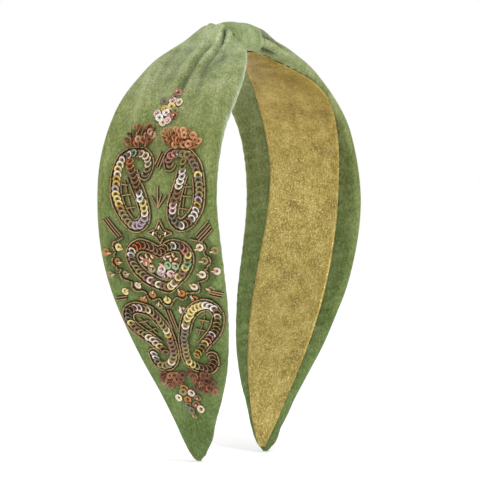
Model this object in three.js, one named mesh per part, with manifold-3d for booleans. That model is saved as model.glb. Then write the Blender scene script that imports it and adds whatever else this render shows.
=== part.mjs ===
// Knotted velvet headband with bullion-wire and sequin embroidery, in millimetres.
// X runs from ear to ear, +Z up, -Y to the front edge; the origin is the lining under the crown.
// Each leg is described along its centre line: s is the distance from the crown, y the distance
// across the band, and n the height over the centre line, outwards from the head.

import * as THREE from "three";
import Module from "manifold-3d";

const wasm = await Module();
wasm.setup();

/* ---------------------------- driving dimensions ---------------------------- */

const LEFT = -1;
const RIGHT = 1;

const LINE_HEIGHT = 2.8; // the centre line over the crown rest
const CROWN_STRAIGHT = 3; // half the straight length at the crown
const ARCH_ACROSS = 56.5; // quarter ellipse from the crown to the widest point
const ARCH_DOWN = 52.3;
const WIDEST = new THREE.Vector2(CROWN_STRAIGHT + ARCH_ACROSS, LINE_HEIGHT - ARCH_DOWN);
const WIDEST_PULL = 23.5; // how far the lower leg keeps going straight down
const TIP = new THREE.Vector2(26.5, -139);
const TIP_PULL = new THREE.Vector2(29.5, -112);

// Half the width of the band along a leg, from the knot to the tip.
const BAND_HALF_WIDTH = through([
  [0, 6.5], [8, 7], [14, 10.4], [20, 13.3], [30, 16.2], [42, 19], [54, 20.8], [70, 21.5],
  [100, 22.1], [115, 21.6], [128, 20.1], [148, 15.6], [170, 7.6], [181, 3.4], [184.4, 0.8],
]);
// The askew knot pulls each leg to one side: the right one to the back, the left to the front.
const BAND_SHIFT = through([
  [0, 0], [10, 0], [20, 1], [30, 2.8], [42, 3.5], [52, 2.8], [66, 0.9], [100, 0],
  [130, 0.2], [158, 0.8], [184.4, 0],
]);
// Half the width of the gold lining. It is laid straighter than the velvet, so it sits off the
// band's middle the other way.
const LINING_HALF_WIDTH = through([
  [0, 5.1], [14, 5.3], [24, 7], [32, 9.8], [39, 12.1], [47, 13.7], [57, 14.2],
  [82, 13.5], [122, 14], [148, 11.4], [173, 5.1], [183, 1.2],
]);
const LINING_SHIFT = through([
  [0, 0], [24, 0], [32, -1.3], [39, -2.6], [47, -3.4], [70, -2.5], [95, -0.9], [148, -0.3],
  [183, 0],
]);

// Layers through a leg, as heights n over its centre line.
const LINING_LAYER = [-2.8, -2.4];
const HEM_LOW = -2.1;
const HEM_HIGH = -1.3;
const CORE_LAYER = [-1.0, 0.5];
const FOAM_LOW = 0.8;
const FOAM_EDGE = 1.3;
const CAVITY_EDGE = 1.8;
const SKIN_EDGE = 2.6; // the velvet's outer face at its long edges
const SKIN_CROWN = 0.7; // how much higher it is along the middle
const PUFF = 4.4; // extra height of the gathers beside the knot
const PUFF_AT = 13;
const PUFF_REACH = 8;

const CORE_END = 178;
const FOAM_START = 40; // the gathers fill the cover nearer the knot
const CAVITY_END = 179.5;
const WINDOW_END = 181;
const LINING_END = 183;
const LEG_END = 184.4;
const CORE_INSET = 2.4; // from the velvet's edge to the core's
const FOAM_INSET = 2.1;
const CAVITY_INSET = 1.4;
const WINDOW_SHARE = 0.78; // of the lining's width is open between the hems
const WINDOW_MARGIN = 0.1; // the cut goes this far past the hems

// The knot runs askew over the crown: its middle is at x = KNOT_SKEW * y.
const KNOT_SKEW = 0.85;
const KNOT_HALF_LENGTH = 9;
const CROWN_HALF_LENGTH = 9.4;
const LEG_START = 10.2;
const KNOT_HALF_WIDTH = 12.2;
const KNOT_LOW = 0.7;
const KNOT_HIGH = 10.9;
const KNOT_LOWER_WRAP = 0.8;
const KNOT_UPPER_WRAP = 1.5;
const GATHERS_HALF_WIDTH = 9.4;
const GATHERS_LAYER = [3.6, 9.1];
const GATHERS_SIDES = 14;
const KNOT_SIDES = 24;
const KNOT_SHOULDER = 0.72; // of its half length, where the strip's edges start to thin
const CROWN_CORE_LAYER = [2.1, 3.3];
const CROWN_LINING_THICKNESS = 0.4;

// Embroidery, worked on the left leg and lifted clear of the velvet.
const LIFT = 0.35;
const SEQUIN_ROW_HALF_WIDTH = 1.25;
const SEQUIN_ROW_HEIGHT = 0.8;
const SEQUIN_RADIUS = 1.3;
const SEQUIN_HOLE = 0.45;
const SEQUIN_THICKNESS = 0.5;
const PURL_RADIUS = 0.35;
const PURL_OFFSET = 2.05; // from a sequin row's middle to the wire beside it
const STROKE_RADIUS = 0.45;
const STROKE_PITCH = 0.7;
const PAD_HEIGHT = 1.0;
const PAD_EDGE_HEIGHT = 0.6;
const STITCH_STEP = 2.4;

const VELVET = { color: 0x8fa564, roughness: 0.95, metalness: 0 };
const HEM_VELVET = { color: 0x87a060, roughness: 0.95, metalness: 0 };
const LUREX = { color: 0xb49747, roughness: 0.45, metalness: 0.6 };
const PLASTIC = { color: 0x2b2b2d, roughness: 0.5, metalness: 0 };
const FOAM = { color: 0xe8e2cf, roughness: 0.9, metalness: 0 };
const BULLION = { color: 0x6e5330, roughness: 0.35, metalness: 0.9 };
const SEQUIN = { color: 0xe3cfb4, roughness: 0.2, metalness: 0.5 };
const COPPER = { color: 0x9c5f3c, roughness: 0.4, metalness: 0.5 };
const BEAD = { color: 0xc98f3a, roughness: 0.15, metalness: 0.4 };

/* --------------------------- embroidery, as [s, y] --------------------------- */

// Each teardrop is one row of sequins, from the end of its curl round to its neck.
// side is the side of the row that the outer wire lies on; loop is the part of the row
// that surrounds the net.
const TEARDROPS = {
  upper_rear: {
    side: 1,
    loop: [0.36, 0.93],
    row: [
      [81, 2.8], [78.9, 1.9], [76.8, 2.2], [75.1, 3.8], [74.7, 6.4], [75, 9], [76.3, 11.3],
      [79.4, 12.7], [82.4, 13.3], [85.7, 13.4], [88.8, 12.9], [92, 11.6], [95, 9.6],
      [96.9, 7.4], [96.8, 5], [95, 3.1], [92.6, 2.7], [89.5, 3.6], [86, 5.2], [82.4, 6.9],
      [79.4, 8],
    ],
    spine: [83, 10.2, 92.8, 7.2],
    bars: [[84.2, 10.9, 84.6, 9], [87.8, 10.5, 87.3, 7.5], [91.7, 8.9, 91.2, 6.2]],
  },
  upper_front: {
    side: -1,
    loop: [0.3, 0.93],
    row: [
      [78.2, -6.1], [76, -5.9], [74.6, -8], [74.4, -10.7], [75.8, -13.1], [78.2, -15],
      [81.4, -16.6], [84.2, -17.2], [87, -17.4], [90.1, -17], [92.8, -15.7], [95.6, -13.1],
      [96.8, -10.2], [95.8, -8.2], [93.4, -7.5], [91, -7.8], [88.1, -8.8], [84.5, -10.1],
      [81.7, -10.9],
    ],
    spine: [84, -13, 93, -11],
    bars: [[85, -14.2, 85.2, -12.6], [88.2, -14.1, 87.8, -11.4], [91.8, -12.9, 91.4, -10.4]],
  },
  lower_rear: {
    side: 1,
    loop: [0.4, 0.95],
    row: [
      [143.3, 8.5], [145.6, 8.2], [147.4, 6.5], [147, 3.6], [144.8, 1.7], [141.6, 1.2],
      [137.1, 1.5], [132.9, 2.5], [129.7, 4.4], [127.2, 6.7], [126.2, 9.3], [125.9, 12.1],
      [127.2, 14.5], [129.7, 15.3], [132.2, 14.5], [134.1, 12.7], [135.6, 11], [137.1, 8.8],
      [139.1, 6.8], [140.9, 5],
    ],
    spine: [129.8, 11, 135.6, 5.6],
    bars: [[131.3, 10.9, 130.5, 8.2], [134.2, 7.6, 133.2, 6]],
  },
  lower_front: {
    side: -1,
    loop: [0.38, 0.93],
    row: [
      [144.3, -12.8], [146.3, -12.7], [148.4, -10.8], [148.1, -8.2], [147.5, -5.9],
      [146, -4.2], [143.8, -3.6], [141.1, -3.8], [138.1, -3.9], [134.9, -4.7],
      [131.7, -5.8], [129.2, -7], [126.7, -9.2], [124.9, -11.9], [124.6, -15], [125.9, -17],
      [128.4, -18], [131.7, -17.2], [134.9, -15.3], [137.4, -12.8], [139.9, -10.4],
      [142.2, -8.4],
    ],
    spine: [128.6, -13.4, 136.2, -9.2],
    bars: [[130.5, -13.8, 129.8, -11.4], [134.1, -11.5, 133.2, -9.4]],
  },
};

const HEART_ROW = [
  [105.7, -1], [104.2, 2.2], [103.5, 5.8], [104.9, 8.5], [108, 9.6], [112, 7.9],
  [114.6, 5.2], [116.9, 1.5], [118, -2.2], [115.7, -5.2], [112.9, -8.2], [109.4, -10.7],
  [106.2, -11.2], [104, -9.6], [103.4, -6.8], [104.2, -3.8],
];
const HEART_OUTLINE = [
  [103.6, -1.4], [102.2, 2], [101.4, 5.8], [103.2, 9.6], [107.8, 11.6], [112.8, 10.1],
  [116.2, 7], [118.8, 2.6], [120.2, -2.2], [117.6, -6.2], [114.3, -9.9], [110.4, -12.7],
  [106.2, -13.3], [102.8, -11.3], [101.3, -7.2], [102.2, -4],
];
const HEART_INLINE = [
  [107.8, -0.6], [106.3, 2.6], [105.7, 5.6], [107.4, 7.3], [110.6, 6], [113, 3.4],
  [115.6, -2.3], [112, -6.1], [108.6, -8.6], [106, -8.6], [105.5, -6.6], [106.4, -3.6],
];
const HEART_BEADS = [
  [109.2, -0.9], [107.4, 2.4], [107.6, 5.2], [110.2, 4.2], [112.2, 1.8], [113.8, -2],
  [111.2, -5.1], [108.2, -7], [107, -5.4], [107.8, -3],
];
const HEART_CENTRE = [110, -1];

// One sequin hangs in each arc of the scalloped wire round the heart.
const SCALLOP_SEQUINS = [
  [104.2, 14], [109.3, 15.3], [113.7, 13.1], [117.7, 9.3], [120.9, 4.4], [122.9, -0.7],
  [120.4, -6.4], [118, -11.6], [113.6, -15.3], [108.8, -16.9], [104.2, -15.9],
];
const SCALLOP_KNOTS = [
  [101, 11.6], [106.4, 16.9], [112, 16.9], [116.4, 12.8], [120.4, 8], [123.2, 2.2],
  [123.2, -3.8], [121, -9.4], [116.8, -14.3], [111.6, -18.4], [106.6, -18.4], [101, -13.4],
];
const SCALLOP_REACH = 2.15; // from a sequin's middle out to the wire's arc

const STAR = [
  [95.4, -2.4], [98.3, -1.1], [99.3, 1.9], [100.2, -0.7], [102.3, -1.7],
  [100.3, -3.2], [99.3, -6.2], [98.3, -3.6],
];
const STAR_CENTRE = [99.3, -2];

// Straight stitches of wire, in groups: each line runs [s, y] to [s, y], and a group is either
// a fan of lines from one point or lines side by side.
const STROKES = {
  top_strokes: sideBySide([75, -3.1, 78.8, -1.5], 3),
  fan_strokes: [[91.6, -2.1, 87.6, 0.2], [91.6, -2.1, 84.8, -2], [91.6, -2.1, 87.4, -4.7]],
  side_rear_strokes: sideBySide([94.9, 18.3, 100.2, 13.6], 3),
  side_front_strokes: sideBySide([97.3, -21.4, 101.6, -17], 3),
  lower_rear_strokes: sideBySide([122.8, 18.4, 122.1, 14.1], 2),
  lower_front_strokes: sideBySide([120.3, -17, 121.2, -21.2], 2),
  centre_strokes: sideBySide([126.3, 0, 133.6, -1.3], 2),
};

// Pads of sequins set on edge or in a heap, by their outline and a point inside.
const PADS = {
  upper_rear_flame: {
    finish: COPPER, centre: [68.8, 5.6],
    outline: [[72, 11.6], [68.7, 10.7], [65.2, 7.3], [65.7, 3.5], [66.7, 0.4], [70.2, 0.8],
      [71, 5.5]],
  },
  upper_front_flame: {
    finish: COPPER, centre: [69, -8.6],
    outline: [[67.4, -2.4], [66.7, -6.2], [66.5, -10.2], [69.5, -14.2], [72.4, -15.2],
      [71, -9.6], [70.6, -3.6]],
  },
  lower_rear_flame: {
    finish: COPPER, centre: [152.8, 3.6],
    outline: [[150.9, 7.4], [155.3, 7.4], [155.3, 4.6], [153.5, 0.4], [150.4, -0.4],
      [150.9, 3.8]],
  },
  lower_front_flame: {
    finish: COPPER, centre: [154, -8.4],
    outline: [[151.6, -4.2], [155.3, -5], [157.6, -9.6], [156.8, -11.2], [152.6, -11.6],
      [151.7, -8.7]],
  },
  top_spray: {
    finish: SEQUIN, centre: [59.5, -1.2],
    outline: [[51.4, -2.3], [55.6, 0], [60.5, 3.2], [64.2, 1.1], [66, -0.9], [62.4, -3.4],
      [57.4, -5.5]],
  },
  bottom_spray: {
    finish: SEQUIN, centre: [161, -1.4],
    outline: [[156, -1], [159.4, 2.6], [161.4, 0.8], [167.4, -1.8], [165, -5], [160, -5.2],
      [157.8, -3.4]],
  },
};

/* --------------------------------- geometry --------------------------------- */

// Copies of a line side by side, a stroke's width apart, about the line itself.
function sideBySide([s, y, toS, toY], count) {
  const length = Math.hypot(toS - s, toY - y);
  return Array.from({ length: count }, (_, i) => {
    const aside = (i - (count - 1) / 2) * STROKE_PITCH;
    const ds = (-aside * (toY - y)) / length;
    const dy = (aside * (toS - s)) / length;
    return [s + ds, y + dy, toS + ds, toY + dy];
  });
}

// A smooth curve through [position, value] stations, level beyond its ends.
function through(stations) {
  const last = stations.length - 1;
  const slopes = stations.map((_, i) => {
    const before = stations[Math.max(i - 1, 0)];
    const after = stations[Math.min(i + 1, last)];
    return (after[1] - before[1]) / (after[0] - before[0]);
  });
  return (position) => {
    const at = THREE.MathUtils.clamp(position, stations[0][0], stations[last][0]);
    let i = 0;
    while (i < last - 1 && at > stations[i + 1][0]) i++;
    const [start, from] = stations[i];
    const [end, to] = stations[i + 1];
    const span = end - start;
    const t = (at - start) / span;
    return (
      from * (1 + 2 * t) * (1 - t) ** 2 +
      slopes[i] * span * t * (1 - t) ** 2 +
      to * t * t * (3 - 2 * t) +
      slopes[i + 1] * span * t * t * (t - 1)
    );
  };
}

const centreLine = new THREE.CurvePath();
centreLine.add(
  new THREE.LineCurve(
    new THREE.Vector2(0, LINE_HEIGHT),
    new THREE.Vector2(CROWN_STRAIGHT, LINE_HEIGHT),
  ),
);
centreLine.add(
  new THREE.EllipseCurve(CROWN_STRAIGHT, WIDEST.y, ARCH_ACROSS, ARCH_DOWN, Math.PI / 2, 0, true),
);
centreLine.add(
  new THREE.CubicBezierCurve(
    WIDEST,
    new THREE.Vector2(WIDEST.x, WIDEST.y - WIDEST_PULL),
    TIP_PULL,
    TIP,
  ),
);
const LINE_LENGTH = centreLine.getLength();

function lineAt(s) {
  return centreLine.getPoint(THREE.MathUtils.clamp(s / LINE_LENGTH, 0, 1));
}

// The place in space of a point at s, y, n on one leg.
function onLeg(side, s, y, n) {
  const reach = 0.4;
  const middle = lineAt(s);
  const along = lineAt(s + reach).sub(lineAt(s - reach)).normalize();
  return new THREE.Vector3(side * (middle.x - n * along.y), y, middle.y + n * along.x);
}

// The height n of the velvet's outer face.
function skinHeight(side, s, y) {
  const across = Math.min(Math.abs(y - side * BAND_SHIFT(s)) / BAND_HALF_WIDTH(s), 1);
  const puff = PUFF * Math.exp(-(((s - PUFF_AT) / PUFF_REACH) ** 2));
  return SKIN_EDGE + (SKIN_CROWN + puff) * (1 - across * across);
}

// A closed body through rings of points. An open run of rings is capped at both ends.
function loft(rings, isLoop = false) {
  const size = rings[0].length;
  const points = rings.flat();
  const index = [];
  const spans = isLoop ? rings.length : rings.length - 1;
  for (let i = 0; i < spans; i++) {
    const here = i * size;
    const next = ((i + 1) % rings.length) * size;
    for (let j = 0; j < size; j++) {
      const k = (j + 1) % size;
      index.push(here + j, here + k, next + k, here + j, next + k, next + j);
    }
  }
  if (!isLoop) {
    const end = (rings.length - 1) * size;
    for (let j = 1; j < size - 1; j++) {
      index.push(0, j + 1, j, end, end + j, end + j + 1);
    }
  }
  return bodyOf(points, index);
}

// A solid from points and triangles, turned so that its faces point outwards.
function bodyOf(points, index) {
  const vertProperties = new Float32Array(points.flatMap((p) => [p.x, p.y, p.z]));
  const solid = (triVerts) =>
    new wasm.Manifold(new wasm.Mesh({ numProp: 3, vertProperties, triVerts }));
  const body = solid(new Uint32Array(index));
  return body.volume() > 0 ? body : solid(new Uint32Array(index).reverse());
}

function join(bodies) {
  return bodies.reduce((whole, body) => whole.add(body));
}

function meshOf(name, body, finish) {
  const { numProp, vertProperties, triVerts } = body.getMesh();
  const geometry = new THREE.BufferGeometry();
  geometry.setAttribute("position", new THREE.BufferAttribute(vertProperties, numProp));
  geometry.setIndex(new THREE.BufferAttribute(triVerts, 1));
  geometry.computeVertexNormals();
  const mesh = new THREE.Mesh(geometry, new THREE.MeshStandardMaterial(finish));
  mesh.name = name;
  return mesh;
}

// Evenly spaced values from start to end, both included.
function spread(start, end, steps) {
  return Array.from({ length: steps + 1 }, (_, i) => start + ((end - start) * i) / steps);
}

// Places along a leg: close together at the knot and the tip, wider between them.
function placesAlong(start, end) {
  const marks = [0, 5, 10, 15, 20, 25, 31, 38];
  marks.push(...spread(45, 165, 18), 170, 175, 178.5, 181, 183, LEG_END);
  return [start, ...marks.filter((s) => s > start + 1 && s < end - 1), end];
}

// A solid along one leg, from its section at each place as [y, n] points.
function alongLeg(side, start, end, section) {
  return loft(
    placesAlong(start, end).map((s) => section(side, s).map(([y, n]) => onLeg(side, s, y, n))),
  );
}

/* ---------------------------- sections of a leg ----------------------------- */

function slabSection(halfWidth, shift, [low, high]) {
  return [
    [shift - halfWidth, low],
    [shift + halfWidth, low],
    [shift + halfWidth, high],
    [shift - halfWidth, high],
  ];
}

// A flat-bottomed section, inset from the band's edges, whose top is a low arch.
function archedSection(side, s, inset, low, edge) {
  const halfWidth = BAND_HALF_WIDTH(s) - inset;
  const middle = side * BAND_SHIFT(s);
  const top = spread(1, -1, 4).map((t) => [
    middle + halfWidth * t,
    edge + SKIN_CROWN * (1 - t * t),
  ]);
  return [[middle - halfWidth, low], [middle + halfWidth, low], ...top];
}

// The band's outer section: flat underneath, round at both long edges, arched on top.
function bandSection(side, s) {
  const halfWidth = BAND_HALF_WIDTH(s);
  const shift = side * BAND_SHIFT(s);
  const thickness = (SKIN_EDGE - HEM_LOW) / 2;
  const roundness = Math.min(thickness, halfWidth * 0.8);
  const flat = halfWidth - roundness;
  const middle = HEM_LOW + thickness;
  const round = (edge, angles) =>
    angles.map((a) => [
      shift + edge * (flat + roundness * Math.cos(a)),
      middle + thickness * Math.sin(a),
    ]);
  const top = spread(0.8, -0.8, 6).map((t) => {
    const y = shift + flat * t;
    return [y, skinHeight(side, s, y)];
  });
  const quarter = Math.PI / 2;
  return [
    ...round(1, spread(-quarter, quarter, 4)),
    ...top,
    ...round(-1, spread(quarter, -quarter, 4)),
  ];
}

function coreSection(side, s) {
  return slabSection(BAND_HALF_WIDTH(s) - CORE_INSET, side * BAND_SHIFT(s), CORE_LAYER);
}

function foamSection(side, s) {
  return archedSection(side, s, FOAM_INSET, FOAM_LOW, FOAM_EDGE);
}

function cavitySection(side, s) {
  return archedSection(side, s, CAVITY_INSET, HEM_HIGH, CAVITY_EDGE);
}

// The opening between the hems, which the lining covers.
function windowSection(side, s) {
  const layer = [HEM_LOW - WINDOW_MARGIN, HEM_HIGH + WINDOW_MARGIN];
  return slabSection(LINING_HALF_WIDTH(s) * WINDOW_SHARE, side * LINING_SHIFT(s), layer);
}

function liningSection(side, s) {
  return slabSection(LINING_HALF_WIDTH(s), side * LINING_SHIFT(s), LINING_LAYER);
}

/* ---------------------------------- crown ----------------------------------- */

// A point of the crown, whose cross-cuts are askew like the knot.
function onCrown(along, y, z) {
  return new THREE.Vector3(along + KNOT_SKEW * y, y, z);
}

// A solid that fills the crown between two askew cuts.
function acrossCrown(halfLength, outline) {
  return loft(
    [-halfLength, halfLength].map((along) => outline.map(([y, z]) => onCrown(along, y, z))),
  );
}

// The region that the leg's pieces stay out of, cut askew.
function crownRegion() {
  const reach = 40;
  return acrossCrown(LEG_START, slabSection(reach, 0, [-reach, reach]));
}

// An oval between two heights, as [y, z] points.
function ovalOutline(halfWidth, low, high, steps) {
  const centre = (low + high) / 2;
  return spread(0, 2 * Math.PI, steps)
    .slice(0, steps)
    .map((a) => [halfWidth * Math.cos(a), centre + ((high - low) / 2) * Math.sin(a)]);
}

// The strip wound once round the gathers and the core.
function knotWrap() {
  const outer = ovalOutline(KNOT_HALF_WIDTH, KNOT_LOW, KNOT_HIGH, KNOT_SIDES);
  const inner = ovalOutline(
    KNOT_HALF_WIDTH - KNOT_UPPER_WRAP,
    KNOT_LOW + KNOT_LOWER_WRAP,
    KNOT_HIGH - KNOT_UPPER_WRAP,
    KNOT_SIDES,
  );
  const shoulder = KNOT_HALF_LENGTH * KNOT_SHOULDER;
  const rings = outer.map(([y, z], i) => {
    const [innerY, innerZ] = inner[i];
    const halfWay = [(y + innerY) / 2, (z + innerZ) / 2];
    return [
      onCrown(-shoulder, y, z),
      onCrown(shoulder, y, z),
      onCrown(KNOT_HALF_LENGTH, ...halfWay),
      onCrown(shoulder, innerY, innerZ),
      onCrown(-shoulder, innerY, innerZ),
      onCrown(-KNOT_HALF_LENGTH, ...halfWay),
    ];
  });
  return loft(rings, true);
}

function crownMeshes() {
  const coreHalfWidth = BAND_HALF_WIDTH(0) - CORE_INSET;
  const crownCore = acrossCrown(
    CROWN_HALF_LENGTH, slabSection(coreHalfWidth, 0, CROWN_CORE_LAYER),
  );
  const crownLining = acrossCrown(
    CROWN_HALF_LENGTH,
    slabSection(LINING_HALF_WIDTH(0), 0, [0, CROWN_LINING_THICKNESS]),
  );
  const gathers = acrossCrown(
    CROWN_HALF_LENGTH,
    ovalOutline(GATHERS_HALF_WIDTH, ...GATHERS_LAYER, GATHERS_SIDES),
  );
  return [
    meshOf("core_crown", crownCore, PLASTIC),
    meshOf("lining_crown", crownLining, LUREX),
    meshOf("gathered_ends", gathers, VELVET),
    meshOf("knot_wrap", knotWrap(), VELVET),
  ];
}

/* ----------------------------------- legs ----------------------------------- */

function velvetCover(side) {
  return alongLeg(side, 0, LEG_END, bandSection)
    .subtract(alongLeg(side, 0, CAVITY_END, cavitySection))
    .subtract(alongLeg(side, 0, WINDOW_END, windowSection));
}

function legMeshes(side, name) {
  const clear = (body) => body.subtract(crownRegion());
  const core = clear(alongLeg(side, 0, CORE_END, coreSection));
  const foam = alongLeg(side, FOAM_START, CORE_END, foamSection);
  const cover = clear(velvetCover(side));
  const lining = clear(alongLeg(side, 0, LINING_END, liningSection));
  return [
    meshOf(`core_${name}`, core, PLASTIC),
    meshOf(`foam_${name}`, foam, FOAM),
    meshOf(`velvet_cover_${name}`, cover, side === LEFT ? VELVET : HEM_VELVET),
    meshOf(`lining_${name}`, lining, LUREX),
  ];
}

/* -------------------------------- embroidery -------------------------------- */

function onVelvet(s, y, n) {
  return onLeg(LEFT, s, y, skinHeight(LEFT, s, y) + n);
}

function stitchPath(points, isLoop = false) {
  const places = points.map(([s, y]) => new THREE.Vector3(s, y, 0));
  return new THREE.CatmullRomCurve3(places, isLoop, "centripetal");
}

// A strand that follows a path over the velvet, from its section as [across, n] points.
// offset sets it to one side of the path, and part is the stretch of the path that it follows.
function strand(path, section, { offset = 0, part = [0, 1] } = {}) {
  const length = path.getLength() * (part[1] - part[0]);
  const steps = Math.max(Math.round(length / STITCH_STEP), 1);
  const places = path.closed
    ? spread(0, 1, steps).slice(0, steps)
    : spread(...part, steps);
  const rings = places.map((u) => {
    const at = path.getPointAt(u);
    const along = path.getTangentAt(u);
    return section.map(([across, n]) => {
      const aside = across + offset;
      return onVelvet(at.x - along.y * aside, at.y + along.x * aside, n);
    });
  });
  return loft(rings, path.closed);
}

function roundSection(radius, sides) {
  return spread(0, 2 * Math.PI, sides)
    .slice(0, sides)
    .map((a) => [radius * Math.cos(a), LIFT + radius + radius * Math.sin(a)]);
}

const PURL_SECTION = roundSection(PURL_RADIUS, 5);
const STROKE_SECTION = roundSection(STROKE_RADIUS, 5);
const SEQUIN_ROW_SECTION = [
  [-SEQUIN_ROW_HALF_WIDTH, LIFT],
  [SEQUIN_ROW_HALF_WIDTH, LIFT],
  [SEQUIN_ROW_HALF_WIDTH * 0.5, LIFT + SEQUIN_ROW_HEIGHT],
  [-SEQUIN_ROW_HALF_WIDTH * 0.5, LIFT + SEQUIN_ROW_HEIGHT],
];

function stroke([s, y, toS, toY], section = STROKE_SECTION) {
  return strand(stitchPath([[s, y], [toS, toY]]), section);
}

// A low pad on the velvet, from a smooth outline round a centre.
function pad(outline, centre) {
  const rim = outline.length * 2;
  const path = stitchPath(outline, true);
  const edge = spread(0, 1, rim)
    .slice(0, rim)
    .map((t) => path.getPoint(t));
  const points = [onVelvet(...centre, LIFT), onVelvet(...centre, LIFT + PAD_HEIGHT)];
  edge.forEach((p) => points.push(onVelvet(p.x, p.y, LIFT)));
  edge.forEach((p) => points.push(onVelvet(p.x, p.y, LIFT + PAD_EDGE_HEIGHT)));
  const index = [];
  for (let i = 0; i < rim; i++) {
    const low = 2 + i;
    const nextLow = 2 + ((i + 1) % rim);
    const high = low + rim;
    const nextHigh = nextLow + rim;
    index.push(0, nextLow, low, 1, high, nextHigh);
    index.push(low, nextLow, nextHigh, low, nextHigh, high);
  }
  return bodyOf(points, index);
}

// One flat sequin with a hole, lying on the velvet.
function sequin([s, y]) {
  const sides = 10;
  const rings = spread(0, 2 * Math.PI, sides)
    .slice(0, sides)
    .map((a) =>
      [
        [SEQUIN_HOLE, 0],
        [SEQUIN_RADIUS, 0],
        [SEQUIN_RADIUS, SEQUIN_THICKNESS],
        [SEQUIN_HOLE, SEQUIN_THICKNESS],
      ].map(([r, n]) => onVelvet(s + r * Math.cos(a), y + r * Math.sin(a), LIFT + n)),
    );
  return loft(rings, true);
}

function teardropMeshes(name, { side, loop, row, spine, bars }) {
  const path = stitchPath(row);
  const outer = strand(path, PURL_SECTION, { offset: side * PURL_OFFSET, part: [0.03, 0.94] });
  const inner = strand(path, PURL_SECTION, { offset: -side * PURL_OFFSET, part: loop });
  const net = join([spine, ...bars].map((wire) => stroke(wire, PURL_SECTION)));
  return [
    meshOf(`${name}_sequins`, strand(path, SEQUIN_ROW_SECTION), SEQUIN),
    meshOf(`${name}_outer_purl`, outer, BULLION),
    meshOf(`${name}_inner_purl`, inner, BULLION),
    meshOf(`${name}_net`, net, BULLION),
  ];
}

// The scalloped wire dips to a knot on each side of every hanging sequin.
function scallopPath() {
  const points = [SCALLOP_KNOTS[0]];
  SCALLOP_SEQUINS.forEach(([s, y], i) => {
    const away = new THREE.Vector2(s - HEART_CENTRE[0], y - HEART_CENTRE[1]);
    away.setLength(SCALLOP_REACH);
    points.push([s + away.x, y + away.y], SCALLOP_KNOTS[i + 1]);
  });
  return stitchPath(points);
}

function heartMeshes() {
  return [
    meshOf("heart_sequins", strand(stitchPath(HEART_ROW, true), SEQUIN_ROW_SECTION), SEQUIN),
    meshOf("heart_outer_purl", strand(stitchPath(HEART_OUTLINE, true), PURL_SECTION), BULLION),
    meshOf("heart_inner_purl", strand(stitchPath(HEART_INLINE, true), PURL_SECTION), BULLION),
    meshOf("heart_beads", pad(HEART_BEADS, HEART_CENTRE), BEAD),
    meshOf("scallop_purl", strand(scallopPath(), PURL_SECTION), BULLION),
    meshOf("star_purl", pad(STAR, STAR_CENTRE), BULLION),
    ...SCALLOP_SEQUINS.map((at, i) => meshOf(`scallop_sequin_${i + 1}`, sequin(at), SEQUIN)),
  ];
}

function embroideryMeshes() {
  return [
    ...Object.entries(TEARDROPS).flatMap(([name, drop]) => teardropMeshes(name, drop)),
    ...heartMeshes(),
    ...Object.entries(STROKES).map(([name, lines]) =>
      meshOf(name, join(lines.map((line) => stroke(line))), BULLION),
    ),
    ...Object.entries(PADS).map(([name, { outline, centre, finish }]) =>
      meshOf(name, pad(outline, centre), finish),
    ),
  ];
}

/* --------------------------------- assembly --------------------------------- */

const headband = new THREE.Group();
headband.add(...crownMeshes());
headband.add(...legMeshes(LEFT, "left"), ...legMeshes(RIGHT, "right"));
headband.add(...embroideryMeshes());

export default headband;
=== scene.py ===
"""Looks of the knotted velvet headband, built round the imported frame.

A leg is described along its centre line: s is the distance from the crown, y the distance across
the band and n the height over the line, outwards from the head. These are millimetres, as in the
part's own source; meshes are turned into metres when they are made.
"""

import math
import random

import bpy
import numpy as np
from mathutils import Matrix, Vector


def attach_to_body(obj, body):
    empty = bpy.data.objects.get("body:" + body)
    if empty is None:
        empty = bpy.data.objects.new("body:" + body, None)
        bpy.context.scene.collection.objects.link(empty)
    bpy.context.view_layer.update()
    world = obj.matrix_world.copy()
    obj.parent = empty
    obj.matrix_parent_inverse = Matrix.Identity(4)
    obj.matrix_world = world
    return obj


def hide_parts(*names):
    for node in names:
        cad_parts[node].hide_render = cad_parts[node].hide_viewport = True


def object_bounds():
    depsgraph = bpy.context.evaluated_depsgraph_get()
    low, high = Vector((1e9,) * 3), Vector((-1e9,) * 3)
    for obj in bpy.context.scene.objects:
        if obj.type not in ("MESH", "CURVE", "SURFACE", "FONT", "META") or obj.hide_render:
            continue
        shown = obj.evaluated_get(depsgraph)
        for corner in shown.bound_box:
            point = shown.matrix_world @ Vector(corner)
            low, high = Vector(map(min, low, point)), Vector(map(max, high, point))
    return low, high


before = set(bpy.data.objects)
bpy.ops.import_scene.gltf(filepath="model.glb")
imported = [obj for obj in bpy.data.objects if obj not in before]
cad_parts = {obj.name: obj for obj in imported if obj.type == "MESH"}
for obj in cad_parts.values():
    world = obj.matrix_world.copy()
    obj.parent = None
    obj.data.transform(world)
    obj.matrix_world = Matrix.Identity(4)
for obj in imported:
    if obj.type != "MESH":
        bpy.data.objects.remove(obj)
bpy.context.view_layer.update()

MM = 0.001
LEFT = -1
RIGHT = 1

# ------------------------------- the band's shape -------------------------------

LINE_HEIGHT = 2.8
CROWN_STRAIGHT = 3
ARCH_ACROSS = 56.5
ARCH_DOWN = 52.3
WIDEST = np.array([CROWN_STRAIGHT + ARCH_ACROSS, LINE_HEIGHT - ARCH_DOWN])
WIDEST_PULL = np.array([0, -23.5])
TIP = np.array([26.5, -139])
TIP_PULL = np.array([29.5, -112])
LEG_START = 10.2
LEG_END = 184.4
LINING_START = LEG_START - 0.5
LINING_END = 183
WINDOW_END = 181

SKIN_EDGE = 2.6
SKIN_CROWN = 0.7
HEM_LOW = -2.1
COVER_THICKNESS = 0.8
LINING_FACE = -2.72
LINING_THICKNESS = 0.3
WINDOW_SHARE = 0.78

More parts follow.
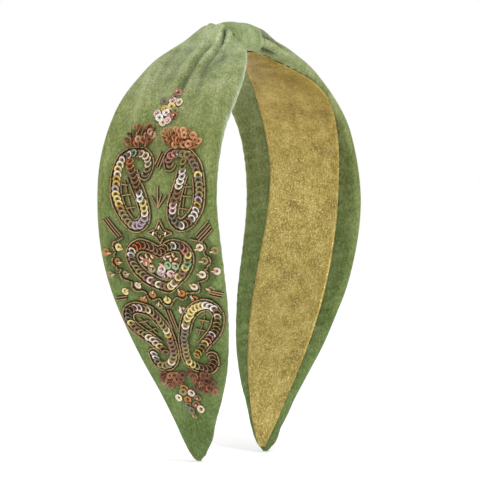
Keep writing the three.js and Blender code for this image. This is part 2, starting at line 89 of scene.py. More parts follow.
KNOT_SKEW = 0.85
SKEW_FADE = 46  # the rows across a leg are square to it from here on
ASKEW_ROUNDS = 14
KNOT_HALF_LENGTH = 9
KNOT_HALF_WIDTH = 12.2
KNOT_LOW = 0.7
KNOT_HIGH = 10.9
KNOT_MIDDLE = (KNOT_LOW + KNOT_HIGH) / 2
KNOT_HALF_HEIGHT = (KNOT_HIGH - KNOT_LOW) / 2
CROWN_HALF_LENGTH = 9.4


def through(stations):
    """A smooth curve through (position, value) stations, level beyond its ends."""
    places, values = np.array(stations, float).T
    spans = np.diff(places)
    slopes = np.empty(len(places))
    slopes[1:-1] = (values[2:] - values[:-2]) / (places[2:] - places[:-2])
    slopes[[0, -1]] = (values[[1, -1]] - values[[0, -2]]) / spans[[0, -1]]

    def value(position):
        at = np.clip(position, places[0], places[-1])
        i = np.clip(np.searchsorted(places, at, side="right") - 1, 0, len(spans) - 1)
        t = (at - places[i]) / spans[i]
        return (
            values[i] * (1 + 2 * t) * (1 - t) ** 2
            + slopes[i] * spans[i] * t * (1 - t) ** 2
            + values[i + 1] * t * t * (3 - 2 * t)
            + slopes[i + 1] * spans[i] * t * t * (t - 1)
        )

    return value


band_half_width = through([
    (0, 6.5), (8, 7), (14, 10.4), (20, 13.3), (30, 16.2), (42, 19), (54, 20.8), (70, 21.5),
    (100, 22.1), (115, 21.6), (128, 20.1), (148, 15.6), (170, 7.6), (181, 3.4), (184.4, 0.8),
])
band_shift = through([
    (0, 0), (10, 0), (20, 1), (30, 2.8), (42, 3.5), (52, 2.8), (66, 0.9), (100, 0),
    (130, 0.2), (158, 0.8), (184.4, 0),
])
lining_half_width = through([
    (0, 5.1), (14, 5.3), (24, 7), (32, 9.8), (39, 12.1), (47, 13.7), (57, 14.2),
    (82, 13.5), (122, 14), (148, 11.4), (173, 5.1), (183, 1.2),
])
lining_shift = through([
    (0, 0), (24, 0), (32, -1.3), (39, -2.6), (47, -3.4), (70, -2.5), (95, -0.9),
    (148, -0.3), (183, 0),
])


def unit(vectors):
    return vectors / np.linalg.norm(vectors, axis=-1, keepdims=True)


def directions(line):
    """The unit direction at each point of a dense line."""
    return unit(np.gradient(line, axis=0))


def left_of(direction):
    """The (s, y) direction square to another, or to each of several."""
    return np.stack([-direction[..., 1], direction[..., 0]], axis=-1)


def lengths_along(line):
    """How far along a line each of its points is."""
    return np.concatenate([[0], np.cumsum(np.linalg.norm(np.diff(line, axis=0), axis=1))])


def points_along(line, at):
    """The points of a line at distances along it."""
    return np.column_stack([np.interp(at, lengths_along(line), v) for v in line.T])


def full_turn(count):
    """Even angles once round."""
    return np.linspace(0, 2 * math.pi, count, endpoint=False)


def centre_line():
    """The line from the crown to a tip: lengths along it, its points and its directions."""
    crown = np.column_stack([np.linspace(0, CROWN_STRAIGHT, 12), np.full(12, LINE_HEIGHT)])
    angle = np.linspace(math.pi / 2, 0, 400)[:, None]
    arch = np.hstack([
        CROWN_STRAIGHT + ARCH_ACROSS * np.cos(angle), WIDEST[1] + ARCH_DOWN * np.sin(angle)
    ])
    t = np.linspace(0, 1, 400)[:, None]
    lower = (
        (1 - t) ** 3 * WIDEST
        + 3 * (1 - t) ** 2 * t * (WIDEST + WIDEST_PULL)
        + 3 * (1 - t) * t * t * TIP_PULL
        + t ** 3 * TIP
    )
    points = np.concatenate([crown, arch[1:], lower[1:]])
    length = lengths_along(points)
    return length, points, unit(np.gradient(points, length, axis=0))


LINE_LENGTH, LINE_POINTS, LINE_TANGENTS = centre_line()


def on_leg(side, s, y, n):
    """Points in space, in millimetres, of arrays of s, y and n on one leg."""
    s, y, n = np.broadcast_arrays(s, y, n)
    x, z = (np.interp(s, LINE_LENGTH, LINE_POINTS[:, k]) for k in (0, 1))
    tx, tz = (np.interp(s, LINE_LENGTH, LINE_TANGENTS[:, k]) for k in (0, 1))
    return np.stack([side * (x - n * tz), y, z + n * tx], axis=-1)


def smooth(value, low, high):
    """0 below low, 1 above high, and a soft step between them."""
    t = np.clip((value - low) / (high - low), 0, 1)
    return t * t * (3 - 2 * t)


def bell(value, middle, reach):
    return np.exp(-(((value - middle) / reach) ** 2))


def ripple(at, pitch, phase):
    """An uneven wave, as in gathered cloth."""
    drift = 1.6 * np.sin(2 * math.pi * at / (3.7 * pitch) + 2.1 * phase)
    return np.sin(2 * math.pi * at / pitch + drift + phase)


# --------------------------------- folds of velvet --------------------------------

# Folds beside the knot: (path as (s, g), height, half width on each side). g is the distance
# across the velvet's face: y on the outer face, and on from there round the edges. A valley has
# a negative height.
FOLDS = {
    LEFT: [
        ([(16, -5.4), (19, -6.6), (22.5, -7.4), (27.5, -8.2)], -3.0, (0.4, 0.7)),
        ([(27, -8.6), (31.3, -11), (38, -13.6)], -0.6, (1.0, 1.6)),
        ([(16, -8.2), (20.5, -9), (26, -11.2)], 0.8, (1.0, 1.2)),
        ([(22, -6.0), (26, -6.8), (32.5, -8.0), (38, -8), (50, -8.6)], -1.2, (0.9, 1.6)),
        ([(12, -2.6), (18, -4.4), (24, -5.2), (31, -5.8), (38, -5.9), (46, -6.4)], 1.1, (1.3, 1.2)),
        ([(21, -2.4), (28, -3.4), (38.7, -4), (51, -3.7), (62, -4)], -1.4, (0.8, 1.8)),
        ([(16, 1.2), (22, 0), (28, -0.6), (40, -1), (52, -1.2)], 0.6, (1.6, 1.4)),
        ([(22, 4), (30, 2.6), (42, 2), (56, 1.6)], -0.7, (1.3, 2.0)),
        ([(24, 8.2), (30, 7.4), (36, 6.6), (52, 5.6)], -0.7, (1.8, 2.4)),
        ([(30, -13), (39.3, -10.4), (44.6, -9.6), (54, -9.4), (64, -9)], -0.7, (1.4, 2.0)),
    ],
    RIGHT: [
        ([(6.5, -7.4), (8.2, -8.4), (10, -9.9), (13.3, -12.3), (15.9, -14.6), (19, -15.7),
          (25, -16.6)], 1.3, (1.3, 1.1)),
        ([(7, -5.2), (9, -6.9), (11, -8.2), (14.5, -10.5), (17.5, -12.6), (21, -13.9)],
         -1.7, (0.9, 1.8)),
        ([(5, -8.8), (7.5, -10), (9.6, -12), (12, -15), (15.5, -17.6), (20, -19.8)],
         -1.9, (0.9, 1.1)),
        ([(5, -11.2), (8.5, -14.2), (12, -17.4), (16, -20)], 0.7, (1.0, 1.0)),
        ([(11, 2), (15, 4), (19, 6), (25, 9)], -1.4, (1.3, 0.8)),
        ([(9, -0.5), (16, 0.6), (26, 2.6), (38, 4)], -0.8, (1.6, 1.6)),
        ([(22, -8), (30, -9), (40, -9.5)], -0.5, (2.2, 2.2)),
    ],
}
# Farther down the leg the wadding keeps a fold from sinking deeper than this.
DEEPEST_FOLD = -0.95


def route(points, closed=False):
    """A dense line (0.1 mm steps) that runs smoothly through points, as an array of (s, y)."""
    places = np.array(points, float)
    if closed:
        places = np.concatenate([places[-3:], places, places[:3]])
    chord = lengths_along(places)
    ends = (chord[3], chord[-3]) if closed else (0, chord[-1])
    fine = np.linspace(*ends, max(int((ends[1] - ends[0]) / 0.1), 2))
    return np.column_stack([through(np.column_stack([chord, v]))(fine) for v in places.T])


def fold_height(side, s, g):
    total = np.zeros(np.broadcast(s, g).shape)
    for points, height, (below, above) in FOLDS[side]:
        line = route(points)[::12]
        step = directions(line)
        ds = s[..., None] - line[:, 0]
        dy = g[..., None] - line[:, 1]
        distance = np.hypot(ds, dy)
        nearest = distance.argmin(axis=-1)[..., None]
        gap = np.take_along_axis(distance, nearest, -1)[..., 0]
        aside = np.take_along_axis(dy * step[:, 0] - ds * step[:, 1], nearest, -1)[..., 0]
        place = nearest[..., 0] / (len(line) - 1)
        fade = smooth(place, -0.01, 0.12) * (1 - smooth(place, 0.6, 1.0))
        total += height * fade * np.exp(-((gap / np.where(aside > 0, above, below)) ** 2))
    return total


def gathers(side, s, g):
    """Fine gathers that fan out of the knot and die away along the leg."""
    across = side * (g - side * band_shift(s)) / band_half_width(s)
    reach = np.exp(-np.clip(s - 8, 0, None) / 12)
    return reach * (0.15 * ripple(across, 0.42, 0.7 * side) + 0.1 * ripple(across, 0.23, 2.0))


def undulation(side, s, g):
    """Slow unevenness of the stuffed face, and shallow drag lines along the leg."""
    slow = 0.14 * np.sin(s / 7.3 + 0.21 * g) * np.sin(g / 6.1 + 0.05 * s + side)
    drag = 0.12 * ripple(g + 0.08 * s, 5.2, 1.3) * (bell(s, 76, 26) + 1.6 * smooth(s, 150, 172))
    return slow + drag


def relief(side, s, g):
    """How far the velvet stands out of its plain face, folds and all."""
    s, g = np.broadcast_arrays(s, g)
    height = fold_height(side, s, g) + gathers(side, s, g) + undulation(side, s, g)
    return np.where(s < 38, height, np.maximum(height, DEEPEST_FOLD))


# The lobe ends roll down into the knot over this length. The lobe at the outer side of the
# askew knot stays high almost up to the wrap.
def roll_length(side, y):
    return 1.4 + 3.2 * smooth(-side * y, -6, 1)


def puff(s):
    return bell(s, 11.5, 8)


def edge_rounding(s):
    """Radius of the band's rolled edges, and how far above and below the middle they reach."""
    depth = (SKIN_EDGE - HEM_LOW) / 2
    return np.minimum(depth + 1.6 * puff(s), 0.8 * band_half_width(s)), depth


def edge_turn(side, s, g):
    """How far the velvet has turned round the edge: 0 on the outer face, pi on the hem."""
    rounding = edge_rounding(s)[0]
    beyond = np.abs(g - side * band_shift(s)) - (band_half_width(s) - rounding)
    return np.clip(beyond / rounding, 0, math.pi)


def skin_height(side, s, y):
    """Height n of the velvet's outer face, without its folds."""
    across = np.clip(np.abs(y - side * band_shift(s)) / band_half_width(s), 0, 1)
    arch = 1 - across ** 3
    lobe = 5 - 0.8 * smooth(y, 1, 7) - 0.7 * (side == RIGHT)
    lobe = lobe * puff(s - 0.5 * KNOT_SKEW * side * y)
    return SKIN_EDGE - 0.9 * bell(s, 24, 9) + (SKIN_CROWN + lobe) * arch


def velvet_height(side, s, y):
    """Height n of the velvet's outer face, folds and all."""
    return skin_height(side, s, y) + relief(side, s, y)


# ----------------------------------- mesh making ----------------------------------


def make_piece(name, points, faces, material, tones=None):
    """A mesh object from points in millimetres, with an optional colour for each point."""
    mesh = bpy.data.meshes.new(name)
    mesh.from_pydata((np.asarray(points) * MM).tolist(), [], [list(f) for f in faces])
    mesh.validate()
    mesh.polygons.foreach_set("use_smooth", [True] * len(mesh.polygons))
    if tones is not None:
        layer = mesh.color_attributes.new(name="tone", type="FLOAT_COLOR", domain="POINT")
        rgba = np.ones((len(tones), 4))
        rgba[:, :3] = tones
        layer.data.foreach_set("color", rgba.ravel())
    mesh.materials.append(material)
    piece = bpy.data.objects.new(name, mesh)
    bpy.context.collection.objects.link(piece)
    return piece


def grid_faces(rows, columns, start=0, wrap_rows=False, wrap_columns=False):
    """Quads of a grid whose points are numbered row by row from start."""
    i = np.arange(rows if wrap_rows else rows - 1)[:, None]
    j = np.arange(columns if wrap_columns else columns - 1)[None, :]
    below = (i + 1) % rows
    beside = (j + 1) % columns
    corners = [i * columns + j, i * columns + beside, below * columns + beside, below * columns + j]
    return np.stack([start + c + 0 * (i + j) for c in corners], axis=-1).reshape(-1, 4)


def capped_tube(rows, columns):
    """Faces of a grid that is closed round, and at both of its ends."""
    ends = [list(range(columns)), list(range((rows - 1) * columns, rows * columns))]
    return [list(f) for f in grid_faces(rows, columns, wrap_columns=True)] + ends


def shell(outer, inner):
    """Points and faces of a sheet with two faces, closed round its edge."""
    rows, columns = outer.shape[:2]
    count = rows * columns
    faces = [grid_faces(rows, columns), grid_faces(rows, columns, count)[:, ::-1]]
    number = np.arange(count).reshape(rows, columns)
    rim = np.concatenate([number[0, :-1], number[:-1, -1], number[-1, :0:-1], number[:0:-1, 0]])
    after = np.roll(rim, -1)
    faces.append(np.column_stack([after, rim, rim + count, after + count]))
    return np.concatenate([outer.reshape(-1, 3), inner.reshape(-1, 3)]), np.concatenate(faces)


def outward(piece):
    """Turns a closed piece's faces outwards."""
    bpy.context.view_layer.objects.active = piece
    piece.select_set(True)
    bpy.ops.object.mode_set(mode="EDIT")
    bpy.ops.mesh.select_all(action="SELECT")
    bpy.ops.mesh.normals_make_consistent(inside=False)
    bpy.ops.object.mode_set(mode="OBJECT")
    piece.select_set(False)
    return piece


def attach(piece, body, slot, *nodes):
    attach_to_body(piece, body)
    if nodes:
        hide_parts(*nodes)
    return piece


# ------------------------------------ materials -----------------------------------


def srgb(red, green, blue):
    def linear(value):
        part = value / 255
        return part / 12.92 if part <= 0.04045 else ((part + 0.055) / 1.055) ** 2.4

    return (linear(red), linear(green), linear(blue), 1.0)


def node(tree, kind, inputs=None, **settings):
    made = tree.nodes.new(kind)
    for key, value in settings.items():
        setattr(made, key, value)
    for key, value in (inputs or {}).items():
        if isinstance(value, bpy.types.NodeSocket):
            tree.links.new(value, made.inputs[key])
        else:
            made.inputs[key].default_value = value
    return made


def new_material(name):
    """A material with an empty tree: its tree and its object coordinates."""
    material = bpy.data.materials.new(name)
    material.use_nodes = True
    tree = material.node_tree
    tree.nodes.clear()
    place = node(tree, "ShaderNodeTexCoord").outputs["Object"]
    return material, tree, place


def finish_material(tree, **inputs):
    shader = node(tree, "ShaderNodeBsdfPrincipled", inputs)
    out = node(tree, "ShaderNodeOutputMaterial")
    tree.links.new(shader.outputs[0], out.inputs["Surface"])


def noise(tree, place, scale, detail, roughness=0.55):
    inputs = {"Vector": place, "Scale": scale, "Detail": detail, "Roughness": roughness}
    return node(tree, "ShaderNodeTexNoise", inputs).outputs["Fac"]


def ramp(tree, factor, stops):
    """A colour ramp through (position, colour) stops."""
    made = node(tree, "ShaderNodeValToRGB", {"Fac": factor})
    elements = made.color_ramp.elements
    while len(elements) < len(stops):
        elements.new(0.5)
    for element, (position, colour) in zip(elements, stops):
        element.position = position
        element.color = colour
    return made.outputs["Color"]


def mix(tree, factor, first, second, blend="MIX"):
    made = node(tree, "ShaderNodeMix", data_type="RGBA", blend_type=blend)
    for socket, value in ((0, factor), (6, first), (7, second)):
        if isinstance(value, bpy.types.NodeSocket):
            tree.links.new(value, made.inputs[socket])
        else:
            made.inputs[socket].default_value = value
    return made.outputs[2]


def between(tree, value, low, high):
    """A value from 0 to 1, turned into one from low to high."""
    inputs = {"Value": value, "To Min": low, "To Max": high}
    return node(tree, "ShaderNodeMapRange", inputs).outputs[0]


def point_tone(tree):
    """The colour that make_piece gave each point."""
    return node(tree, "ShaderNodeVertexColor", layer_name="tone").outputs["Color"]


def bump(tree, height, strength, distance, normal=None):
    inputs = {"Height": height, "Strength": strength, "Distance": distance * MM}
    if normal is not None:
        inputs["Normal"] = normal
    return node(tree, "ShaderNodeBump", inputs).outputs["Normal"]


def stretched(tree, place, scale):
    """Object coordinates scaled unevenly, for grain that runs one way."""
    return node(tree, "ShaderNodeMapping", {"Vector": place, "Scale": scale}).outputs["Vector"]


def velvet(name, dark, mid, light):
    """Crushed velvet: a mottled nap, paler where the pile leans, times each point's tone, which
    holds painted highlights and painted shade.
    """
    material, tree, place = new_material(name)
    patches = noise(tree, stretched(tree, place, (1, 1, 0.4)), 150, 2, 0.5)
    strands = noise(tree, stretched(tree, place, (1, 1, 0.5)), 1300, 2, 0.5)
    fine = noise(tree, place, 3400, 2, 0.6)
    nap = mix(tree, 0.55, patches, strands)
    nap = mix(tree, 0.5, nap, fine)
    colour = ramp(tree, nap, [(0.38, dark), (0.5, mid), (0.62, light)])
    colour = mix(tree, 1.0, colour, point_tone(tree), "MULTIPLY")
    normal = bump(tree, strands, 0.4, 0.25)
    normal = bump(tree, fine, 0.45, 0.15, normal)
    finish_material(
        tree,
        **{"Base Color": colour, "Roughness": between(tree, fine, 0.75, 0.98), "Normal": normal,
           "Specular IOR Level": 0.1, "Sheen Weight": 0.3, "Sheen Roughness": 0.35,
           "Sheen Tint": srgb(214, 224, 196)},
    )
    return material


def lurex(name):
    """Gold lurex: fine woven rows with flakes of metal thread, some painted with pale glints."""
    material, tree, place = new_material(name)
    cells = node(tree, "ShaderNodeTexVoronoi", {"Vector": place, "Scale": 3000.0})
    flake = node(tree, "ShaderNodeSeparateColor", {"Color": cells.outputs["Color"]})
    glitter = flake.outputs[0]
    patches = noise(tree, place, 160, 3, 0.6)
    rows = noise(tree, stretched(tree, place, (1, 1, 0.2)), 1900, 2, 0.6)
    tone = mix(tree, 0.5, patches, rows)
    base = ramp(tree, tone, [
        (0.32, srgb(116, 94, 36)), (0.5, srgb(162, 141, 66)), (0.68, srgb(196, 180, 108)),
    ])
    tint = point_tone(tree)
    # The tint's blue sets how many flakes get a painted glint: fewer where the tint is warm.
    bare = node(tree, "ShaderNodeSeparateColor", {"Color": tint}).outputs[2]
    share = node(
        tree, "ShaderNodeMapRange", {"Value": bare, "From Min": 0.78, "To Min": 0.15, "To Max": 0.8}
    ).outputs[0]
    painted_glint = ramp(tree, glitter, [(0.66, srgb(0, 0, 0)), (0.98, srgb(230, 230, 230))])
    painted_glint = node(tree, "ShaderNodeMath", {0: painted_glint, 1: share}, operation="MULTIPLY").outputs[0]
    colour = mix(tree, painted_glint, base, srgb(230, 216, 148))
    colour = mix(tree, 1.0, colour, tint, "MULTIPLY")
    normal = bump(tree, glitter, 0.45, 0.1)
    normal = bump(tree, rows, 0.4, 0.1, normal)
    rough = between(tree, glitter, 0.5, 0.22)
    finish_material(
        tree, **{"Base Color": colour, "Metallic": 0.45, "Roughness": rough, "Normal": normal}
    )
    return material


def toned_metal(name, metallic, rough_low, rough_high, grain, coat=0.0):
    """Metal or foil coloured piece by piece, with scuffs in its gloss."""
    material, tree, place = new_material(name)
    scuffs = noise(tree, place, grain, 3, 0.6)
    shade = ramp(tree, scuffs, [(0.3, srgb(205, 200, 195)), (0.6, srgb(255, 255, 255))])
    colour = mix(tree, 1.0, point_tone(tree), shade, "MULTIPLY")
    rough = between(tree, scuffs, rough_low, rough_high)
    finish_material(
        tree,
        **{"Base Color": colour, "Metallic": metallic, "Roughness": rough,
           "Normal": bump(tree, scuffs, 0.15, 0.05), "Coat Weight": coat},
    )
    return material


def plain_fill(name, low, high, scale, rough):
    """Hidden plastic or wadding: mottled, with a pebbled surface."""
    material, tree, place = new_material(name)
    grain = noise(tree, place, scale, 4, 0.6)
    colour = ramp(tree, grain, [(0.3, low), (0.7, high)])
    finish_material(
        tree,
        **{"Base Color": colour, "Roughness": rough, "Normal": bump(tree, grain, 0.3, 0.2)},
    )
    return material


VELVET = velvet("velvet", srgb(98, 112, 62), srgb(138, 149, 97), srgb(176, 182, 140))
GOLD = lurex("gold_lurex")
BULLION = toned_metal("bullion_wire", 0.4, 0.3, 0.5, 2600)
FOIL = toned_metal("sequin_foil", 0.35, 0.12, 0.32, 900, 0.4)
COPPER = toned_metal("copper_sequins", 0.15, 0.3, 0.5, 900)
GLASS = toned_metal("glass_beads", 0.3, 0.05, 0.15, 900, 1.0)
PLASTIC = plain_fill("core_plastic", srgb(30, 30, 32), srgb(56, 56, 60), 900, 0.45)
WADDING = plain_fill("foam", srgb(216, 208, 186), srgb(240, 234, 216), 500, 0.95)

# ---------------------------------- velvet covers ---------------------------------


def askew_rows(side, sigma, columns, end, y_at):
    """s and y at each point of rows that lie askew beside the knot, and how askew each row is."""
    askew = side * KNOT_SKEW * (1 - smooth(sigma, LEG_START, SKEW_FADE))
    s = np.repeat(sigma, columns, axis=1)
    for _ in range(ASKEW_ROUNDS):
        y = y_at(s)
        s = np.clip(sigma + askew * y, 0, end)
    return s, y, askew


HEM_STEPS = np.linspace(0, 1, 9)[:-1]
ARC_ANGLES = np.linspace(-math.pi / 2, math.pi / 2, 27)
TOP_STEPS = np.linspace(-1, 1, 71)[1:-1]
TIP_ROUND = 4.5
FINE_END = 48
FINE_STEP = 0.42
COARSE_ROWS = 158
# The first rows draw in by these shares, to a seam that closes the end beside the knot.
COVER_START = LEG_START - 0.6
DRAWN_IN = np.array([1, 0.7, 0.4, 0.15])
END_SEAM = (-0.35, -0.15)
END_SEAM_INSET = 1.9
END_THICKNESS = 0.5
ROLL_DOWN = 0.62  # how far the face comes down at its start, towards the height ROLL_LOW
ROLL_LOW = 0.5


def cover_rows():
    """s of each row on the centre line, and how far the row is drawn in."""
    closing = np.full(len(DRAWN_IN), COVER_START)
    near = np.arange(COVER_START, FINE_END, FINE_STEP)
    rows = np.concatenate([closing, near, np.linspace(FINE_END, LEG_END, COARSE_ROWS)])
    return rows[:, None], np.pad(DRAWN_IN, (0, len(rows) - len(DRAWN_IN)))[:, None]


def wall(s, inset):
    """The inner face's depth under the outer one, less where the band is thin."""
    rounding, depth = edge_rounding(s)
    return inset * np.minimum(1, rounding / depth)


def flat_half(s):
    """Half the width between the rolled edges."""
    return band_half_width(s) - edge_rounding(s)[0]


def hem_part(side, s, inset, edge):
    """y, n and g of a turned hem, between the lining and the rolled edge."""
    steps = HEM_STEPS[::-edge]
    shift = side * band_shift(s)
    flat = flat_half(s)
    lining_edge = side * lining_shift(s) + edge * WINDOW_SHARE * lining_half_width(s)
    limit = 0.85 * flat * (1 - smooth(s, 172, WINDOW_END))
    start = shift + np.clip(lining_edge - shift, -limit, limit)
    end = shift + edge * flat
    y = start + (end - start) * steps
    turned = flat + math.pi * edge_rounding(s)[0] + np.abs(end - start) * (1 - steps)
    g = shift + edge * turned
    turned_over = smooth(steps, 0, 0.5) * (1 - 0.6 * smooth(steps, 0.7, 1))
    crease = hem_creases(s, edge * y, edge + side) * turned_over
    folds = np.clip(relief(side, s, g), -0.2, 0.9)
    crease = crease + 0.6 * folds * smooth(steps, 0.2, 1)
    return y, HEM_LOW - crease + wall(s, inset), g


def edge_part(side, s, inset, edge):
    """y, n and g of a rolled edge, between the hem and the outer face."""
    angles = ARC_ANGLES[::-edge]
    shift = side * band_shift(s)
    flat = flat_half(s)
    rounding, depth = edge_rounding(s)
    g = shift + edge * (flat + rounding * (math.pi / 2 - angles))
    under = np.clip(-np.sin(angles), 0, 1)
    out = relief(side, s, g) * (1 - 0.4 * under) - wall(s, inset)
    out = out + 0.4 * hem_creases(s, 0 * s, edge + side) * under
    y = shift + edge * (flat + (rounding + out) * np.cos(angles))
    lift = skin_height(side, s, shift + edge * flat) - SKIN_EDGE
    lift = lift * np.clip(np.sin(angles), 0, 1)
    return y, HEM_LOW + depth + (depth + out) * np.sin(angles) + lift, g


def face_part(side, s, inset):
    """y, n and g of the outer face between the rolled edges."""
    y = side * band_shift(s) + flat_half(s) * TOP_STEPS
    return y, velvet_height(side, s, y) - wall(s, inset), y


def cover_section(side, s, inset):
    """y, n and g of the cover's outline at each row (s holds a value for every column)."""
    hem = len(HEM_STEPS)
    arc = len(ARC_ANGLES)
    parts = np.split(s, np.cumsum([hem, arc, len(TOP_STEPS), arc]), axis=1)
    outline = [
        hem_part(side, parts[0], inset, -1),
        edge_part(side, parts[1], inset, -1),
        face_part(side, parts[2], inset),
        edge_part(side, parts[3], inset, 1),
        hem_part(side, parts[4], inset, 1),
    ]
    return [np.concatenate(values, axis=1) for values in zip(*outline)]


def hem_creases(s, y, phase):
    """Small slanting creases where the turned hem is drawn in."""
    return 0.3 * ripple(s + 0.5 * y, 4.7, phase) + 0.16 * ripple(s - 0.3 * y, 2.6, phase + 1.1)


def cover_faces(side):
    """The outer and the inner face of one leg's cover, and the s and g of its points."""
    sigma, drawn_in = cover_rows()
    width = 2 * len(HEM_STEPS) + 2 * len(ARC_ANGLES) + len(TOP_STEPS)
    s, _, askew = askew_rows(side, sigma, width, LEG_END, lambda s: cover_section(side, s, 0)[0])
    faces = []
    for inset in (COVER_THICKNESS, 0):
        deeper = END_THICKNESS * np.exp(COVER_START - sigma) * (inset > 0)
        at = np.minimum(s + deeper, LEG_END)
        y, n, g = cover_section(side, at, inset)
        roll = np.clip((LEG_START - sigma) / roll_length(side, y) + 1, 0, 1)
        drop = ROLL_DOWN * (1 - np.sqrt(1 - roll ** 2))
        n = n - np.clip(n - ROLL_LOW, 0, None) * drop
        ending = np.clip((at - LEG_END + TIP_ROUND) / TIP_ROUND, 0, 1)
        middle = (SKIN_EDGE + HEM_LOW) / 2
        n = middle + (n - middle) * np.sqrt(np.clip(1 - 0.97 * ending ** 2, 0, 1))
        shift = side * band_shift(at)
        reach = band_half_width(at) - END_SEAM_INSET
        inwards = (shift + np.clip(y - shift, -reach, reach) - y) * drawn_in
        n = n + (np.clip(n, *END_SEAM) - n) * drawn_in
        faces.append(on_leg(side, at + askew * inwards, y + inwards, n))
    return faces[1], faces[0], s, g


tone_red = through([(0, 1.1), (25, 1.04), (50, 0.9), (80, 0.72), (110, 0.64), (184, 0.46)])
tone_green = through([(0, 1.1), (25, 1.04), (50, 0.88), (80, 0.74), (110, 0.72), (184, 0.57)])
tone_blue = through([(0, 1.2), (25, 1.08), (50, 0.8), (80, 0.58), (110, 0.55), (184, 0.44)])


def pile_tones(side, s, g):
    """How the velvet's colour drifts: paler by the knot, with painted highlights on ridges and
    edges and painted shade in folds, on the hem and round the embroidery.
    """
    heights = np.clip(fold_height(side, s, g) + gathers(side, s, g), -1.6, 1.0)
    turn = edge_turn(side, s, g)
    turned = smooth(turn, 1.9, 3.0)
    mottle = 0.05 * ripple(s + 0.4 * g, 13, side) * np.sin(g / 3.1 + s / 9)
    # Painted light and shade in slanting bands along the drag folds, fading down the leg.
    painted_drag_shading = 0.06 * ripple(g + 0.1 * s, 4.1, 0.6) * (1 - 0.5 * smooth(s, 60, 90))
    # Painted shade on the turned hem, strongest part way down the leg.
    hem_painted_shade = 0.3 * turned * smooth(s, 26, 44) * (1 - 0.5 * smooth(s, 110, 150))
    # Painted light and shade in bands along the turned hem's creases.
    creases = 0.1 * ripple(s + 0.3 * g, 4.7, side) * turned * smooth(s, 40, 60)
    # Painted light and shade: paler on fold ridges, darker in fold valleys.
    shade = 1.0 + 0.3 * heights + 0.1 * np.minimum(heights, 0) + mottle + painted_drag_shading + creases
    shade = shade * (1 - hem_painted_shade) * stitched_shade(side, s, g)
    # Painted shade on the right leg near the knot.
    if side == RIGHT:
        shade = shade * (1 - 0.2 * bell(s, 8, 22))
    # Painted sheen: pale bluish highlights on the left leg's rolled edge and on both legs' edges
    # near the knot.
    painted_sheen = (bell(turn, 1.75, 0.45) if side == LEFT else 0) * (1 - smooth(s, 55, 90))
    painted_sheen = painted_sheen + 0.12 * bell(turn, 0.3, 0.9) * (1 - smooth(s, 40, 70))
    colour = np.stack([tone_red(s), tone_green(s), tone_blue(s)], axis=-1)
    # More painted sheen on the left leg's fold ridges.
    painted_sheen = painted_sheen + 0.2 * np.clip(heights, 0, 1) * (side == LEFT)
    return colour * shade[..., None] + painted_sheen[..., None] * np.array([0.75, 0.8, 1.9])


def stitched_shade(side, s, g):
    """The velvet looks darker between and beside the rows of the embroidery."""
    if side == RIGHT:
        return np.ones(s.shape)
    lines = [route(teardrop["row"])[::6] for teardrop in TEARDROPS.values()]
    lines += [route(HEART_ROW, closed=True)[::6], scallop_line()[::8]]
    nearest = np.full(s.shape, 99.0)
    for place in np.concatenate(lines):
        nearest = np.minimum(nearest, np.hypot(s - place[0], g - place[1]))
    return 1 - 0.36 * (1 - smooth(nearest, 1.6, 3.4))


def make_cover(side, name, body):
    outer, inner, s, g = cover_faces(side)
    points, faces = shell(outer, inner)
    tones = pile_tones(side, s, g).reshape(-1, 3)
    piece = make_piece(f"cover_{name}", points, faces, VELVET, np.concatenate([tones, tones]))
    outward(piece)
    attach(piece, body, "velvet", f"velvet_cover_{name}")


# ------------------------------------- lining -------------------------------------


def make_lining(side, name, body):
    """The gold ribbon on the inside of one leg, with a faint ridge where its halves join."""
    sigma = np.linspace(LINING_START, LINING_END, 190)[:, None]
    across = np.linspace(-1, 1, 29)[None, :]

    def y_at(s):
        return side * lining_shift(s) + lining_half_width(s) * across

    s, y, _ = askew_rows(side, sigma, across.shape[1], LINING_END, y_at)
    ridge = 0.12 * bell(across, 0.12, 0.03) * smooth(s, 70, 110)
    waves = 0.07 * ripple(s + 2 * across, 11, side) * (1 - across ** 2)
    edge = 0.22 * np.abs(across) ** 12
    face = LINING_FACE + edge - ridge - waves
    points, faces = shell(on_leg(side, s, y, face), on_leg(side, s, y, face + LINING_THICKNESS))
    # Warmer and darker towards the knot; this tone's blue also sets the lurex's painted glints,
    # fewer near the knot.
    warm = 1 - smooth(s, 30, 95)
    tones = np.stack([1 - 0.05 * warm, 1 - 0.12 * warm, 1 - 0.22 * warm], axis=-1).reshape(-1, 3)
    piece = make_piece(f"ribbon_{name}", points, faces, GOLD, np.concatenate([tones, tones]))
    outward(piece)
    attach(piece, body, "gold_lurex", f"lining_{name}")
    length = LINING_END - LINING_START
    places = np.linspace(LINING_START, LINING_END, 400)
    area = 2 * lining_half_width(places).mean() * length * MM * MM
    width = 2 * lining_half_width(places).max() * MM


def on_crown(along, y, z):
    """Points over the crown, whose cross-cuts are askew like the knot."""
    along, y, z = np.broadcast_arrays(along, y, z)
    return np.stack([along + KNOT_SKEW * y, y, z], axis=-1)


def make_crown_lining():
    along = np.linspace(-CROWN_HALF_LENGTH, CROWN_HALF_LENGTH, 24)[:, None]
    across = np.linspace(-1, 1, 13)[None, :]
    y = lining_half_width(0) * across + 0 * along
    low = 0.06 + 0.05 * np.sin(along / 2.1 + across)
    points, faces = shell(on_crown(along, y, low), on_crown(along, y, low + LINING_THICKNESS))
    # A warmer, darker tone; its low blue also keeps the lurex's painted glints few.
    tones = np.tile([0.95, 0.88, 0.78], (len(points), 1))
    piece = outward(make_piece("ribbon_crown", points, faces, GOLD, tones))
    attach(piece, "crown", "gold_lurex", "lining_crown")


# -------------------------------------- knot --------------------------------------

WRAP_THICKNESS = 1.0
PLEATS_HALF_WIDTH = 9.3
PLEATS_HALF_HEIGHT = 2.45
PLEATS_MIDDLE = 6.3
PLEATS_LOWER = 2.6  # how much lower the gathers reach on each side of the core


